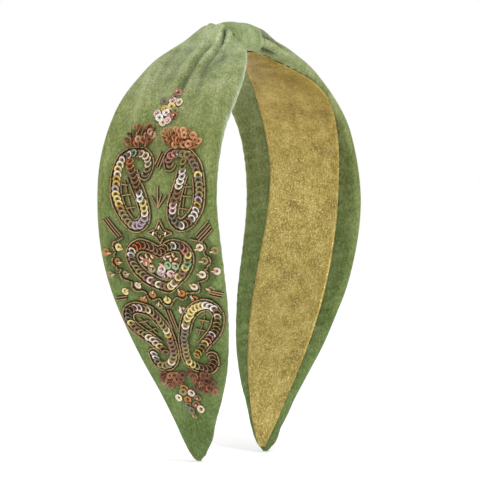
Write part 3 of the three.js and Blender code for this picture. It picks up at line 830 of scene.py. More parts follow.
def make_knot_wrap():
    """The smooth strip wound askew over the crown, with soft folds along it."""
    angle = full_turn(200)[:, None]
    across = np.linspace(-1, 1, 61)[None, :]
    reach = KNOT_HALF_LENGTH * (1.1 + 0.06 * smooth(-np.sin(angle), 0, 0.6))
    folds = 0.13 * ripple(across + 0.3 * np.sin(angle), 0.9, 0.4)
    tucked = 2.4 * smooth(-across, 0.5, 1) * smooth(np.sin(angle), -0.2, 0.4)
    crown = 0.4 * (1 - across ** 2)
    edge_roll = 0.7 * np.abs(across) ** 9
    under = smooth(-np.sin(angle), 0.2, 0.9)
    # The underside lies flat against the lining, so the lower half of its outline is squarer.
    squarer = (np.abs(np.cos(angle)) ** 5 + np.abs(np.sin(angle)) ** 5) ** (-1 / 5)
    spread = np.where(np.sin(angle) < 0, squarer, 1)

    def face(inset):
        grow = crown + folds * (1 - np.abs(across) ** 6) - edge_roll - tucked - 0.7 - inset
        grow = grow * (1 - 0.75 * under) - 0.05
        y = (KNOT_HALF_WIDTH + grow) * np.cos(angle) * spread
        z = KNOT_MIDDLE + (KNOT_HALF_HEIGHT + grow) * np.sin(angle) * spread - 0.25 * under
        return on_crown(reach * across * np.where(across < 0, 1.16, 1), y, z)

    ring = np.concatenate([face(0), face(WRAP_THICKNESS)[:, ::-1]], axis=1)
    rows, columns = ring.shape[:2]
    faces = grid_faces(rows, columns, wrap_rows=True, wrap_columns=True)
    # Painted light and shade on the wrap's folds: paler on their crests, darker in their hollows.
    shade = 1 + 0.2 * np.concatenate([folds, folds[:, ::-1]], axis=1)
    tones = np.array([1.04, 1.1, 1.16]) * shade.reshape(-1, 1)
    piece = outward(make_piece("wrap", ring.reshape(-1, 3), faces, VELVET, tones))
    attach(piece, "crown", "velvet", "knot_wrap")


def make_gathered_ends():
    """The pleated ends of both covers, drawn together inside the wrap."""
    along = np.linspace(-CROWN_HALF_LENGTH, CROWN_HALF_LENGTH, 60)[:, None]
    angle = full_turn(150)[None, :]
    flare = smooth(np.abs(along), 6, CROWN_HALF_LENGTH)
    pleats = 0.32 * ripple(angle * 5.2 / math.pi, 1.0, 0.5) + 0.25 * flare
    y = (PLEATS_HALF_WIDTH + pleats) * np.cos(angle)
    lower = PLEATS_LOWER * smooth(np.abs(y), 4.6, 5.8) * smooth(-np.sin(angle), 0.05, 0.5)
    z = PLEATS_MIDDLE + (PLEATS_HALF_HEIGHT + pleats) * np.sin(angle) - lower
    ring = on_crown(along, y, z)
    rows, columns = ring.shape[:2]
    faces = capped_tube(rows, columns)
    # Darker and yellower overall, with painted light on the pleats' crests and painted shade in
    # their hollows.
    tones = np.array([0.8, 0.85, 0.75]) * (1 + 0.25 * pleats).reshape(-1, 1)
    tones = np.broadcast_to(tones, (rows * columns, 3))
    piece = outward(make_piece("pleated_ends", ring.reshape(-1, 3), faces, VELVET, tones))
    attach(piece, "crown", "velvet", "gathered_ends")


# -------------------------------- embroidery, as (s, y) -----------------------------

SEQUIN_RADIUS = 1.38
SEQUIN_HOLE = 0.38
SEQUIN_PITCH = 1.55
PURL_RADIUS = 0.47
PURL_OFFSET = 2.05
STROKE_RADIUS = 0.46
STROKE_PITCH = 0.95
TUBE_SIDES = 12
COIL_PITCH = 0.2
CUT_GAP = 0.06  # left free at each end of a cut length of wire
SHORTEST_CUT = 0.4
LEAST_LEFT_OVER = 1.2

# Each teardrop is one row of sequins, from the end of its curl round to its neck. side is the
# side of the row that the outer wire lies on; loop is the part of the row round the net.
TEARDROPS = {
    "upper_rear": {
        "side": 1,
        "loop": (0.36, 0.93),
        "row": [
            (81, 2.8), (78.9, 1.9), (76.8, 2.2), (75.1, 3.8), (74.7, 6.4), (75, 9),
            (76.3, 11.3), (79.4, 12.7), (82.4, 13.3), (85.7, 13.4), (88.8, 12.9), (92, 11.6),
            (95, 9.6), (96.9, 7.4), (96.8, 5), (95, 3.1), (92.6, 2.7), (89.5, 3.6), (86, 5.2),
            (82.4, 6.9), (79.4, 8), (77.2, 8.7),
        ],
        "spine": [(83, 10.2), (92.8, 7.2)],
        "bars": [[(84.2, 11.6), (84.6, 8.6)], [(87.8, 11.2), (87.3, 7.2)],
                 [(91.7, 9.6), (91.2, 5.8)]],
    },
    "upper_front": {
        "side": -1,
        "loop": (0.3, 0.93),
        "row": [
            (78.2, -6.2), (76, -5.8), (74.7, -7.5), (74.6, -10.2), (75.8, -13), (78.2, -15),
            (81.4, -16.6), (84.2, -17.2), (87, -17.4), (90.1, -17), (92.8, -15.7),
            (95.6, -13.1), (96.8, -10.2), (95.8, -8.2), (93.4, -7.5), (91, -7.8), (88.1, -8.8),
            (84.5, -10.1), (81.7, -10.9), (79.1, -11.1), (77.2, -10.9),
        ],
        "spine": [(84, -13), (93, -11)],
        "bars": [[(85, -14.8), (85.2, -11.8)], [(88.2, -14.8), (87.8, -10.8)],
                 [(91.8, -13.6), (91.4, -9.8)]],
    },
    "lower_rear": {
        "side": 1,
        "loop": (0.4, 0.95),
        "row": [
            (143.3, 8.5), (145.6, 8.2), (147.4, 6.5), (147, 3.6), (144.8, 1.7), (141.6, 1.2),
            (137.1, 1.5), (132.9, 2.5), (129.7, 4.4), (127.2, 6.7), (126.2, 9.3),
            (125.9, 12.1), (127.2, 14.5), (129.7, 15.3), (132.2, 14.5), (134.1, 12.7),
            (135.6, 11), (137.1, 8.8), (139.1, 6.8), (140.9, 5), (142.6, 4),
        ],
        "spine": [(129.8, 11), (135.6, 5.6)],
        "bars": [[(131.3, 11.4), (130.5, 7.6)], [(134.2, 8.2), (133.2, 5.4)]],
    },
    "lower_front": {
        "side": -1,
        "loop": (0.38, 0.93),
        "row": [
            (144.3, -12.8), (146.3, -12.7), (148.4, -10.8), (148.1, -8.2), (147.5, -5.9),
            (146, -4.2), (143.8, -3.6), (141.1, -3.8), (138.1, -3.9), (134.9, -4.7),
            (131.7, -5.8), (129.2, -7), (126.7, -9.2), (124.9, -11.9), (124.6, -15),
            (125.9, -17), (128.4, -18), (131.7, -17.2), (134.9, -15.3), (137.4, -12.8),
            (139.9, -10.4), (142.2, -8.4), (143.6, -7.2),
        ],
        "spine": [(128.6, -13.4), (136.2, -9.2)],
        "bars": [[(130.5, -14.6), (129.8, -10.8)], [(134.1, -12.2), (133.2, -8.8)]],
    },
}

HEART_ROW = [
    (105.7, -1), (104.2, 2.2), (103.5, 5.8), (104.9, 8.5), (108, 9.6), (112, 7.9),
    (114.6, 5.2), (116.9, 1.5), (118, -2.2), (115.7, -5.2), (112.9, -8.2), (109.4, -10.7),
    (106.2, -11.2), (104, -9.6), (103.4, -6.8), (104.2, -3.8),
]
HEART_OUTLINE = [
    (103.6, -1.4), (102.2, 2), (101.4, 5.8), (103.2, 9.6), (107.8, 11.6), (112.8, 10.1),
    (116.2, 7), (118.8, 2.6), (120.2, -2.2), (117.6, -6.2), (114.3, -9.9), (110.4, -12.7),
    (106.2, -13.3), (102.8, -11.3), (101.3, -7.2), (102.2, -4),
]
HEART_INLINE = [
    (107.8, -0.6), (106.3, 2.6), (105.7, 5.6), (107.4, 7.3), (110.6, 6), (113, 3.4),
    (115.6, -2.3), (112, -6.1), (108.6, -8.6), (106, -8.6), (105.5, -6.6), (106.4, -3.6),
]
HEART_CENTRE = np.array([110, -1])
HEART_FILL_BEADS = [
    (107.6, 5.6), (107, 3.8), (108.8, 5.8), (108.4, 2.6), (109.6, 4.2), (107.2, 1.8),
    (107, -4.2), (106.6, -6.2), (108.2, -5), (107.9, -7), (109.4, -6.2), (107.6, -2.8),
    (109.8, -1.2), (110.4, 2.4),
]
HEART_FILL_SEQUINS = [
    ((110.2, -3.4), "green"), ((111.6, -1), "pink"), ((113.2, -4), "pink"),
    ((112.8, -0.4), "lilac"), ((109.2, 4.4), "amber"), ((110.4, -6.2), "green"),
    ((114, -1.8), "brown"), ((111.4, 2.6), "olive"),
]

SCALLOP_SEQUINS = [
    (104.2, 14), (109.3, 15.3), (113.7, 13.1), (117.7, 9.3), (120.9, 4.4), (122.9, -0.7),
    (120.4, -6.4), (118, -11.6), (113.6, -15.3), (108.8, -16.9), (104.2, -15.9),
]
SCALLOP_KNOTS = [
    (101, 11.6), (106.4, 16.9), (112, 16.9), (116.4, 12.8), (120.4, 8), (123.2, 2.2),
    (123.2, -3.8), (121, -9.4), (116.8, -14.3), (111.6, -18.4), (106.6, -18.4), (101, -13.4),
]
SCALLOP_REACH = 2.1
SCALLOP_DIP = 0.9
OUTER_DOTS = [
    (106, 19), (114, 18.8), (120, 14.5), (122.9, 8.2), (125.2, 2.8), (126.7, -5.5),
    (122.5, -10.8), (119.2, -17.5), (112.5, -20.6), (105.3, -21.2),
]

STAR = [
    (94.9, -2.4), (98.1, -0.9), (99.3, 2.6), (100.4, -0.5), (103, -1.7), (100.5, -3.4),
    (99.3, -6.9), (98.1, -3.8),
]
STAR_CENTRE = np.array([99.3, -2.1])
STAR_BEADS = [(97.4, -2.1), (99.5, 0.2), (99.5, -4.3)]

# Straight stitches of wire: groups side by side, or a fan from one point.
STROKES = {
    "top_strokes": {"line": ((74.6, -3.2), (79, -1.4)), "count": 3},
    "fan_strokes": {
        "fan": [((91.6, -2.1), (87.6, 0.2)), ((91.6, -2.1), (84.6, -2)),
                ((91.6, -2.1), (87.1, -3.6)), ((91.6, -2.1), (87.4, -5.6))],
    },
    "side_rear_strokes": {"line": ((94.8, 17.8), (100.6, 12.9)), "count": 3},
    "side_front_strokes": {"line": ((96.8, -20.8), (101.6, -15.4)), "count": 4},
    "lower_rear_strokes": {"line": ((122.8, 18.4), (122.1, 14.1)), "count": 2},
    "lower_front_strokes": {"line": ((120.3, -17), (121.4, -21.2)), "count": 3},
    "centre_strokes": {"line": ((126.3, 0), (133.8, -1.4)), "count": 3},
}

TOP_SPRAY = [
    ((52.4, -2.8), "rose"), ((54.6, -2.6), "grey"), ((56.3, -2.4), "pink"),
    ((56.6, 0.6), "grey"), ((57, -5.2), "cream"), ((58.7, -2.8), "pale_gold"),
    ((59.5, -0.6), "gold"), ((60.3, -4.6), "olive"), ((61.1, 1.8), "pink"),
    ((60.9, -1.5), "white"), ((62, -4.8), "brown"), ((62.8, 0.5), "white"),
    ((62.5, -3.4), "rose"), ((64.3, -1), "cream"), ((63.9, -3), "pink"),
]
BOTTOM_SPRAY = [
    ((156, -0.2), "amber"), ((157.6, 0.6), "olive"), ((158, -2.4), "pink"),
    ((159.8, 2.4), "cream"), ((160, -4.4), "brown"), ((160.6, -0.6), "amber"),
    ((162.5, -3.2), "brown"), ((162.8, -0.4), "grey"), ((164.2, -4.8), "cream"),
    ((164.6, -1.6), "grey"), ((166.7, -2.1), "olive"),
]

# Flames: the outline of each, the point that its sequins fan out of, how steeply they stand
# and their spacing.
FLAMES = {
    "upper_rear_flame": {
        "outline": [(73, 11.4), (69.9, 11), (66.9, 9.2), (65, 7.2), (66, 4), (66.4, 1),
                    (69, 0.6), (71.6, 1.2), (72.7, 5.6)],
        "root": (78, 5), "lean": (72, 66), "pitch": 1.4, "colours": "copper",
    },
    "upper_front_flame": {
        "outline": [(67, -2.3), (66.3, -7.6), (66, -10.3), (67.6, -13), (71.2, -16.6),
                    (73.4, -16.2), (72.8, -13.2), (72.8, -8.9), (72, -3.6)],
        "root": (79, -8), "lean": (74, 20), "pitch": 1.5, "colours": "orange_copper",
    },
    "lower_rear_flame": {
        "outline": [(149.9, 7.8), (155.6, 7.8), (155.6, 4.6), (153.6, 0), (149.7, -1.2),
                    (150, 3.8)],
        "root": (146, 3), "lean": (24, 30), "pitch": 1.45, "colours": "red_copper",
    },
    "lower_front_flame": {
        "outline": [(149.7, -3), (155.6, -4.8), (158, -9.8), (157.3, -11.8), (151.7, -12.2),
                    (150, -8.7)],
        "root": (147, -7), "lean": (26, 62), "pitch": 1.45, "colours": "red_copper",
    },
}

TONES = {name: srgb(*colour) for name, colour in {
    "cream": (246, 232, 200), "white": (250, 246, 240), "pink": (244, 212, 208),
    "pale_gold": (240, 222, 140), "gold": (214, 178, 78), "olive": (160, 142, 88),
    "amber": (196, 124, 54), "rose": (190, 128, 112), "brown": (146, 106, 72),
    "grey": (128, 116, 92), "lilac": (190, 172, 186), "red": (206, 84, 46),
    "blue": (120, 146, 170), "green": (150, 190, 140),
}.items()}
ROW_MIX = {
    "cream": 16, "white": 9, "pink": 11, "pale_gold": 13, "gold": 8, "olive": 16, "amber": 6,
    "rose": 5, "brown": 20, "grey": 14, "lilac": 3, "red": 1, "blue": 0.7, "green": 1,
}
FLAME_MIX = {name: [srgb(*colour) for colour in colours] for name, colours in {
    "copper": [(168, 106, 70), (136, 84, 52), (196, 138, 100), (226, 180, 146), (112, 70, 44)],
    "orange_copper": [(202, 138, 90), (178, 114, 72), (220, 162, 114), (150, 94, 58)],
    "red_copper": [(162, 104, 72), (140, 88, 60), (184, 128, 94), (122, 76, 50)],
}.items()}
HUNG_MIX = {"cream": 3, "pale_gold": 3, "amber": 3, "pink": 2, "olive": 2, "rose": 1}
HEART_BEAD_TONES = [srgb(150, 92, 28), srgb(178, 112, 36), srgb(120, 74, 30)]
BEAD_BROWN = srgb(172, 110, 48)
# Painted shade and highlight colours of the bullion wire's flanks and top.
WIRE_SHADE_TONE = srgb(46, 30, 16)
WIRE_HIGHLIGHT_TONE = srgb(224, 184, 126)

# --------------------------------- embroidery meshes --------------------------------


class Gathering:
    """Points, faces and tones of one piece, put together bit by bit."""

    def __init__(self):
        self.points = []
        self.faces = []
        self.tones = []
        self.count = 0

    def add(self, points, faces, tones):
        points = np.asarray(points).reshape(-1, 3)
        self.points.append(points)
        self.faces.extend([[self.count + i for i in face] for face in faces])
        self.tones.append(np.broadcast_to(tones, (len(points), 3)))
        self.count += len(points)

    def piece(self, name, material, slot, *nodes):
        points = np.concatenate(self.points)
        made = make_piece(name, points, self.faces, material, np.concatenate(self.tones))
        outward(made)
        return attach(made, "left_leg", slot, *nodes)


def on_velvet(places, height):
    """Points on the left leg's outer face at (s, y) places, and the directions along s, across
    and up from the face there."""
    s, y = np.asarray(places, float).T
    step = 0.3

    def at(ds, dy):
        return on_leg(LEFT, s + ds, y + dy, velvet_height(LEFT, s + ds, y + dy))

    middle = at(0, 0)
    along = unit(at(step, 0) - at(-step, 0))
    across = unit(at(0, step) - at(0, -step))
    up = unit(np.cross(across, along))
    return middle + up * height, along, across, up


def washer(radius, hole, thickness, cup, sides):
    """A thin ring, slightly cupped: its points, faces, and how far out each point is."""
    radii = [hole, radius * 0.6, radius * 0.78, radius, radius, hole]
    heights = [0, cup * 0.4, cup * 0.7, cup, cup - thickness, -thickness]
    angle = full_turn(sides)
    rings = [
        np.column_stack([r * np.cos(angle), r * np.sin(angle), np.full(sides, h)])
        for r, h in zip(radii, heights)
    ]
    # add_sequin paints shade in the middle and a highlight at the rim by this.
    outness = np.repeat([0.0, 0.25, 1.0, 1.0, 0.4, 0.0], sides)
    faces = grid_faces(len(rings), sides, wrap_rows=True, wrap_columns=True)
    return np.concatenate(rings), faces, outness


SEQUIN = washer(SEQUIN_RADIUS, SEQUIN_HOLE, thickness=0.1, cup=0.12, sides=20)


def turned_pair(first, second, degrees):
    """Two directions at right angles, turned together: the first towards the second."""
    angle = math.radians(degrees)
    return (
        first * math.cos(angle) + second * math.sin(angle),
        second * math.cos(angle) - first * math.sin(angle),
    )


def add_sequin(gathering, place, heading, tilt, height, tone, dice, size=1.0, depth=0.3):
    """One sequin at (s, y): heading is the way it faces along the cloth, tilt raises the edge
    behind it, and depth is how dark its cupped middle is painted: painted shade that fades out to
    a pale rim, a painted highlight."""
    points, faces, outness = SEQUIN
    middle, along, across, up = (v[0] for v in on_velvet([place], height))
    ahead = unit(along * heading[0] + across * heading[1])
    aside = np.cross(up, ahead)
    top, forward = turned_pair(up, ahead, tilt)
    aside, top = turned_pair(aside, top, dice.uniform(-7, 7))
    place_of = middle + size * (
        points[:, :1] * forward + points[:, 1:2] * aside + points[:, 2:] * top
    )
    # Painted shade in the cupped middle, fading out to a painted pale highlight at the rim.
    rim = np.array(tone[:3])
    painted_shade_middle = rim * (1 - depth * np.array([0.9, 1.0, 1.1]))
    gathering.add(place_of, faces, painted_shade_middle + (rim - painted_shade_middle) * outness[:, None])


def walk(line, pitch):
    """Places and headings at even distances along a dense line."""
    length = lengths_along(line)[-1]
    count = max(int(round(length / pitch)), 1)
    places = points_along(line, np.linspace(0, length, count + 1))
    return places, directions(places)


def beside(line, offset):
    """The line moved sideways."""
    return line + offset * left_of(directions(line))


def add_wire(gathering, line, radius, dice, height=0.0, cut=(3.2, 5.5)):
    """Bullion wire laid along a line of (s, y): short cut lengths of a coiled spring."""
    length = lengths_along(line)[-1]
    start = 0.0
    while start < length - SHORTEST_CUT:
        end = min(start + dice.uniform(*cut), length)
        if length - end < LEAST_LEFT_OVER:
            end = length
        at = np.arange(start + CUT_GAP, end - CUT_GAP, COIL_PITCH)
        if len(at) < 3:
            break
        places = beside(points_along(line, at), dice.uniform(-0.12, 0.12))
        add_coil(gathering, places, radius, dice, height)
        start = end


def add_coil(gathering, places, radius, dice, height):
    middle, _, _, up = on_velvet(places, height + radius * 0.85)
    ahead = directions(middle)
    aside = unit(np.cross(up, ahead))
    turns = np.arange(len(places))
    swell = radius * np.where(turns % 2 == 0, 1.0, 0.84)
    swell[[0, -1]] *= 0.72
    angle = full_turn(TUBE_SIDES)
    ring = (
        middle[:, None]
        + swell[:, None, None] * (
            np.cos(angle)[None, :, None] * aside[:, None]
            + np.sin(angle)[None, :, None] * up[:, None]
        )
    )
    # Painted highlight along the wire's top, painted shade on its flanks and in the coil's grooves.
    painted_top_highlight = smooth(np.sin(angle), 0.8, 1)[None, :, None]
    painted_groove_shade = np.where(turns % 2 == 0, 1.0, 0.55)[:, None, None]
    shine = dice.uniform(0.75, 1.1)
    dark, light = (np.array(c[:3]) for c in (WIRE_SHADE_TONE, WIRE_HIGHLIGHT_TONE))
    tones = dark + (light * shine - dark) * painted_top_highlight * painted_groove_shade
    gathering.add(ring, capped_tube(len(places), TUBE_SIDES), tones.reshape(-1, 3))


def add_bead(gathering, place, heading, tone, height, radius, length):
    """A round-ended glass bead lying along heading."""
    middle, along, across, up = (v[0] for v in on_velvet([place], height))
    ahead = unit(along * heading[0] + across * heading[1])
    aside = np.cross(up, ahead)
    steps = np.linspace(-math.pi / 2, math.pi / 2, 7)
    angle = full_turn(TUBE_SIDES)
    spin = np.cos(angle)[:, None] * aside + np.sin(angle)[:, None] * up
    rings = [
        middle + ahead * length * math.sin(a) + max(math.cos(a), 0.3) * radius * spin
        for a in steps
    ]
    faces = capped_tube(len(rings), TUBE_SIDES)
    glint = smooth(np.sin(angle), 0.9, 1)[:, None] * (np.abs(steps) < 0.9)[:, None, None]
    colour = np.array(tone[:3])
    tones = colour + (np.array(TONES["white"][:3]) - colour) * glint
    gathering.add(np.concatenate(rings), faces, tones.reshape(-1, 3))


def pick(dice, choices):
    names = list(choices)
    return TONES[dice.choices(names, [choices[name] for name in names])[0]]


def add_sequin_row(gathering, line, dice):
    """A row of sequins, each lying on the one before it."""
    places, headings = walk(line, SEQUIN_PITCH)
    run = pick(dice, ROW_MIX)
    for place, heading in zip(places, headings):
        if dice.random() < 0.6:
            run = pick(dice, ROW_MIX)
        shifted = place + dice.uniform(-0.2, 0.2) * left_of(heading)
        tilt = dice.uniform(15, 25)
        add_sequin(gathering, shifted, heading, tilt, 0.66, run, dice, depth=0.78)


def part_of(line, start, end):
    return line[int(start * len(line)):int(end * len(line))]


def round_the_start(line, offset):
    """A line beside a row, carried round the row's first sequin."""
    ahead = unit(line[4] - line[0])
    aside = math.copysign(1, offset) * left_of(ahead)
    angle = np.radians(np.linspace(165, 8, 20))[:, None]
    curl = line[0] + abs(offset) * (np.cos(angle) * aside - np.sin(angle) * ahead)
    return np.concatenate([curl, beside(line, offset)[2:]])


def make_teardrop(name, drop, dice):
    line = route(drop["row"])
    sequins = Gathering()
    add_sequin_row(sequins, line, dice)
    sequins.piece(f"sequins_{name}", FOIL, "sequin", f"{name}_sequins")
    outer = Gathering()
    outer_line = part_of(round_the_start(line, drop["side"] * PURL_OFFSET), 0, 0.95)
    add_wire(outer, outer_line, PURL_RADIUS, dice)
    outer.piece(f"outer_wire_{name}", BULLION, "bullion_wire", f"{name}_outer_purl")
    inner = Gathering()
    add_wire(inner, part_of(beside(line, -drop["side"] * PURL_OFFSET), *drop["loop"]),
             PURL_RADIUS, dice)
    inner.piece(f"inner_wire_{name}", BULLION, "bullion_wire", f"{name}_inner_purl")
    net = Gathering()
    add_wire(net, route(drop["spine"]), PURL_RADIUS * 0.9, dice)
    for bar in drop["bars"]:
        add_wire(net, route(bar), PURL_RADIUS * 0.9, dice, 0.3)
    net.piece(f"net_{name}", BULLION, "bullion_wire", f"{name}_net")


def scallop_line():
    """An arc round the far side of each hung sequin, dipping towards the heart between two."""
    points = [SCALLOP_KNOTS[0]]
    for place, knot in zip(SCALLOP_SEQUINS, SCALLOP_KNOTS[1:]):
        away = unit(np.array(place) - HEART_CENTRE)
        onward = np.array(knot) - place
        onward = unit(onward - away * (onward @ away))
        for turn in (-72, -26, 26, 72):
            angle = math.radians(turn)
            reach = SCALLOP_REACH * (math.cos(angle) * away + math.sin(angle) * onward)
            points.append(tuple(place + reach))
        points.append(tuple(knot - SCALLOP_DIP * away))
    return route(points)


def add_hung_sequin(gathering, beads, place, dice):
    """A flat sequin held by an amber bead on the side of the heart."""
    inwards = unit(HEART_CENTRE - np.array(place))
    tone = pick(dice, HUNG_MIX)
    add_sequin(gathering, place, -inwards, dice.uniform(4, 12), 0.42, tone, dice, 0.95)
    bead_place = np.array(place) + inwards * 1.15
    add_bead(beads, bead_place, inwards, BEAD_BROWN, 0.85, 0.45, 0.95)


def make_heart(dice):
    row = Gathering()
    add_sequin_row(row, route(HEART_ROW, closed=True)[:-15], dice)
    row.piece("sequins_heart", FOIL, "sequin", "heart_sequins")
    for name, outline in (("outer", HEART_OUTLINE), ("inner", HEART_INLINE)):
        wire = Gathering()
        add_wire(wire, route(outline, closed=True), PURL_RADIUS, dice)
        wire.piece(f"{name}_wire_heart", BULLION, "bullion_wire", f"heart_{name}_purl")
    fill = Gathering()
    for place in HEART_FILL_BEADS:
        turn = dice.uniform(0, math.pi)
        tone = dice.choice(HEART_BEAD_TONES)
        add_bead(fill, place, (math.cos(turn), math.sin(turn)), tone, 0.8, 0.6, 1.0)
    for place, tone in HEART_FILL_SEQUINS:
        add_sequin(fill, place, (1, 0), dice.uniform(-10, 16), 0.8, TONES[tone], dice)
        add_bead(fill, place, (1, dice.uniform(-1, 1)), BEAD_BROWN, 1.15, 0.34, 0.5)
    fill.piece("heart_fill", GLASS, "bead", "heart_beads")


def make_scallops(dice):
    wire = Gathering()
    add_wire(wire, scallop_line(), PURL_RADIUS, dice, cut=(1.8, 3.2))
    wire.piece("scallop_wire", BULLION, "bullion_wire", "scallop_purl")
    beads = Gathering()
    for i, place in enumerate(SCALLOP_SEQUINS, 1):
        hung = Gathering()
        add_hung_sequin(hung, beads, place, dice)
        hung.piece(f"hung_sequin_{i}", FOIL, "sequin", f"scallop_sequin_{i}")
    dots = Gathering()
    for place in OUTER_DOTS:
        add_hung_sequin(dots, beads, place, dice)
    dots.piece("outer_dots", FOIL, "sequin")
    beads.piece("small_beads", GLASS, "bead")


def make_star(dice):
    star = Gathering()
    corners = STAR + STAR[:1]
    for start, end in zip(corners, corners[1:]):
        add_wire(star, route([start, end]), PURL_RADIUS, dice)
    inner = [tuple(STAR_CENTRE + 0.5 * (np.array(p) - STAR_CENTRE)) for p in corners]
    for start, end in zip(inner, inner[1:]):
        add_wire(star, route([start, end]), PURL_RADIUS * 0.85, dice)
    star.piece("star_wire", BULLION, "bullion_wire", "star_purl")
    beads = Gathering()
    for place in STAR_BEADS:
        add_bead(beads, place, (1, 0.4), TONES["cream"], 0.9, 0.34, 0.7)
    beads.piece("star_beads", GLASS, "bead")


def stroke_lines(group):
    if "fan" in group:
        return group["fan"]
    start, end = (np.array(p, float) for p in group["line"])
    step = unit(end - start)
    aside = left_of(step)
    offsets = (np.arange(group["count"]) - (group["count"] - 1) / 2) * STROKE_PITCH
    stagger = step * 0.35
    return [(start + aside * o - stagger * o, end + aside * o - stagger * o) for o in offsets]


def make_strokes(dice):
    for name, group in STROKES.items():
        wires = Gathering()
        for start, end in stroke_lines(group):
            line = route([tuple(start), tuple(end)])
            add_wire(wires, line, STROKE_RADIUS, dice, cut=(30, 40))
        wires.piece(name.replace("strokes", "stitches"), BULLION, "bullion_wire", name)


def inside(outline, place):
    """Whether a place is within a closed outline."""
    s, y = place
    crossings = 0
    for (s0, y0), (s1, y1) in zip(outline, outline[1:] + outline[:1]):
        if (y0 > y) != (y1 > y) and s < s0 + (y - y0) * (s1 - s0) / (y1 - y0):
            crossings += 1
    return crossings % 2 == 1


def make_flame(name, flame, dice):
    """Copper sequins in overlapping ranks that fan out of one root."""
    outline = flame["outline"]
    lows = np.min(outline, axis=0)
    highs = np.max(outline, axis=0)
    root = np.array(flame["root"], float)
    sequins = Gathering()
    spots = []
    for i, s in enumerate(np.arange(lows[0], highs[0], flame["pitch"])):
        for y in np.arange(lows[1] + (i % 2) * flame["pitch"] / 2, highs[1], flame["pitch"]):
            spot = np.array([s, y]) + [dice.uniform(-0.3, 0.3), dice.uniform(-0.3, 0.3)]
            if inside(outline, spot):
                spots.append(spot)
    spots.sort(key=lambda spot: -np.hypot(*(spot - root)))
    for spot in spots:
        out = unit(spot - root)
        heading = left_of(out) + dice.uniform(-0.3, 0.3) * out
        if dice.random() < 0.5:
            heading = -heading
        front_share = (highs[1] - spot[1]) / (highs[1] - lows[1])
        lean = flame["lean"][0] + (flame["lean"][1] - flame["lean"][0]) * front_share
        lean = lean + dice.uniform(-8, 8)
        height = 0.5 + SEQUIN_RADIUS * 0.75 * math.sin(math.radians(lean))
        tone = dice.choice(FLAME_MIX[flame["colours"]])
        add_sequin(sequins, spot, heading, lean, height, tone, dice, 0.95, 0.25)
    sequins.piece(name.replace("flame", "plume"), COPPER, "copper_sequin", name)


def make_spray(name, spots, dice):
    sequins = Gathering()
    for place, tone in spots:
        turn = dice.uniform(-0.6, 0.6)
        height = dice.uniform(0.5, 1.0)
        add_sequin(sequins, place, (1, turn), dice.uniform(-4, 22), height, TONES[tone], dice)
    for place, _tone in spots[2::2]:
        add_bead(sequins, place, (1, dice.uniform(-1, 1)), TONES["amber"], 1.0, 0.36, 0.5)
    sequins.piece(f"{name}_sequins", FOIL, "sequin", name)


def make_embroidery():
    dice = random.Random(11)
    for name, drop in TEARDROPS.items():
        make_teardrop(name, drop, dice)
    make_heart(dice)
    make_scallops(dice)
    make_star(dice)
    make_strokes(dice)
    for name, flame in FLAMES.items():
        make_flame(name, flame, dice)
    make_spray("top_spray", TOP_SPRAY, dice)
    make_spray("bottom_spray", BOTTOM_SPRAY, dice)


# ------------------------------------- carry-over ----------------------------------


def dress_frame():
    """Materials for the CAD nodes that stay: the core strips and the wadding."""
    for name, cad_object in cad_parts.items():
        if name.startswith(("core_", "foam_")):
            for slot in cad_object.material_slots:
                slot.material = PLASTIC if name.startswith("core_") else WADDING


# ---------------------------------- camera and stage --------------------------------

VIEW_AZIMUTH = -65
VIEW_ELEVATION = 1
VIEW_DISTANCE = 1.5
VIEW_AIM = Vector((1.1, -2.3, -64.5)) * MM
LENS = 326.25


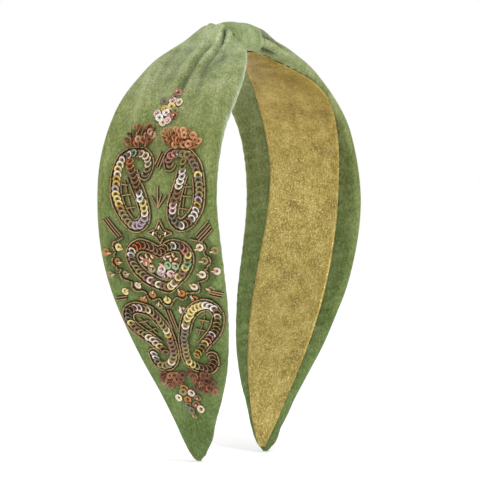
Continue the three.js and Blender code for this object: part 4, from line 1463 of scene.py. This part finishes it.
def make_camera():
    azimuth = math.radians(-VIEW_AZIMUTH)
    elevation = math.radians(VIEW_ELEVATION)
    forward = Vector((
        math.sin(azimuth) * math.cos(elevation),
        math.cos(azimuth) * math.cos(elevation),
        -math.sin(elevation),
    ))
    data = bpy.data.cameras.new("camera")
    data.lens = LENS
    data.sensor_width = 36
    data.clip_end = 100
    camera = bpy.data.objects.new("camera", data)
    camera.location = VIEW_AIM - forward * VIEW_DISTANCE
    camera.rotation_euler = forward.to_track_quat("-Z", "Y").to_euler()
    bpy.context.collection.objects.link(camera)
    bpy.context.scene.camera = camera


def make_floor():
    """A plain pale disc just under the tips."""
    radius = 60
    sides = 96
    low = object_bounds()[0].z - 0.0003
    angle = full_turn(sides)
    points = np.column_stack([radius * np.cos(angle), radius * np.sin(angle), np.full(sides, low)])
    material, tree, place = new_material("floor")
    grain = noise(tree, place, 30, 2)
    colour = ramp(tree, grain, [(0.3, srgb(250, 250, 250)), (0.7, srgb(253, 253, 253))])
    finish_material(
        tree,
        **{"Base Color": colour, "Roughness": 0.9, "Specular IOR Level": 0.1,
           "Emission Color": srgb(255, 255, 255), "Emission Strength": 0.3},
    )
    floor = make_piece("floor", points / MM, [list(range(sides))], material)


def make_lamp(name, place, size, power):
    data = bpy.data.lights.new(name, "AREA")
    data.size = size
    data.energy = power
    lamp = bpy.data.objects.new(name, data)
    lamp.location = place
    aim = VIEW_AIM - Vector(place)
    lamp.rotation_euler = aim.to_track_quat("-Z", "Y").to_euler()
    bpy.context.collection.objects.link(lamp)


def make_light():
    """A white room: the camera sees it at full white, and it lights the band a little less."""
    world = bpy.data.worlds.new("world")
    world.use_nodes = True
    tree = world.node_tree
    background = tree.nodes["Background"]
    background.inputs["Color"].default_value = (1, 1, 1, 1)
    seen = node(tree, "ShaderNodeLightPath").outputs["Is Camera Ray"]
    tree.links.new(between(tree, seen, 0.72, 1.0), background.inputs["Strength"])
    scene = bpy.context.scene
    scene.world = world
    scene.view_settings.view_transform = "Standard"
    make_lamp("key", (-0.9, -1.1, 1.5), 0.5, 17)
    make_lamp("fill", (-1.4, 0.9, 0.5), 1.4, 3)


make_camera()
make_cover(LEFT, "left", "left_leg")
make_cover(RIGHT, "right", "right_leg")
make_lining(LEFT, "left", "left_leg")
make_lining(RIGHT, "right", "right_leg")
make_crown_lining()
make_knot_wrap()
make_gathered_ends()
make_embroidery()
dress_frame()
make_light()
make_floor()
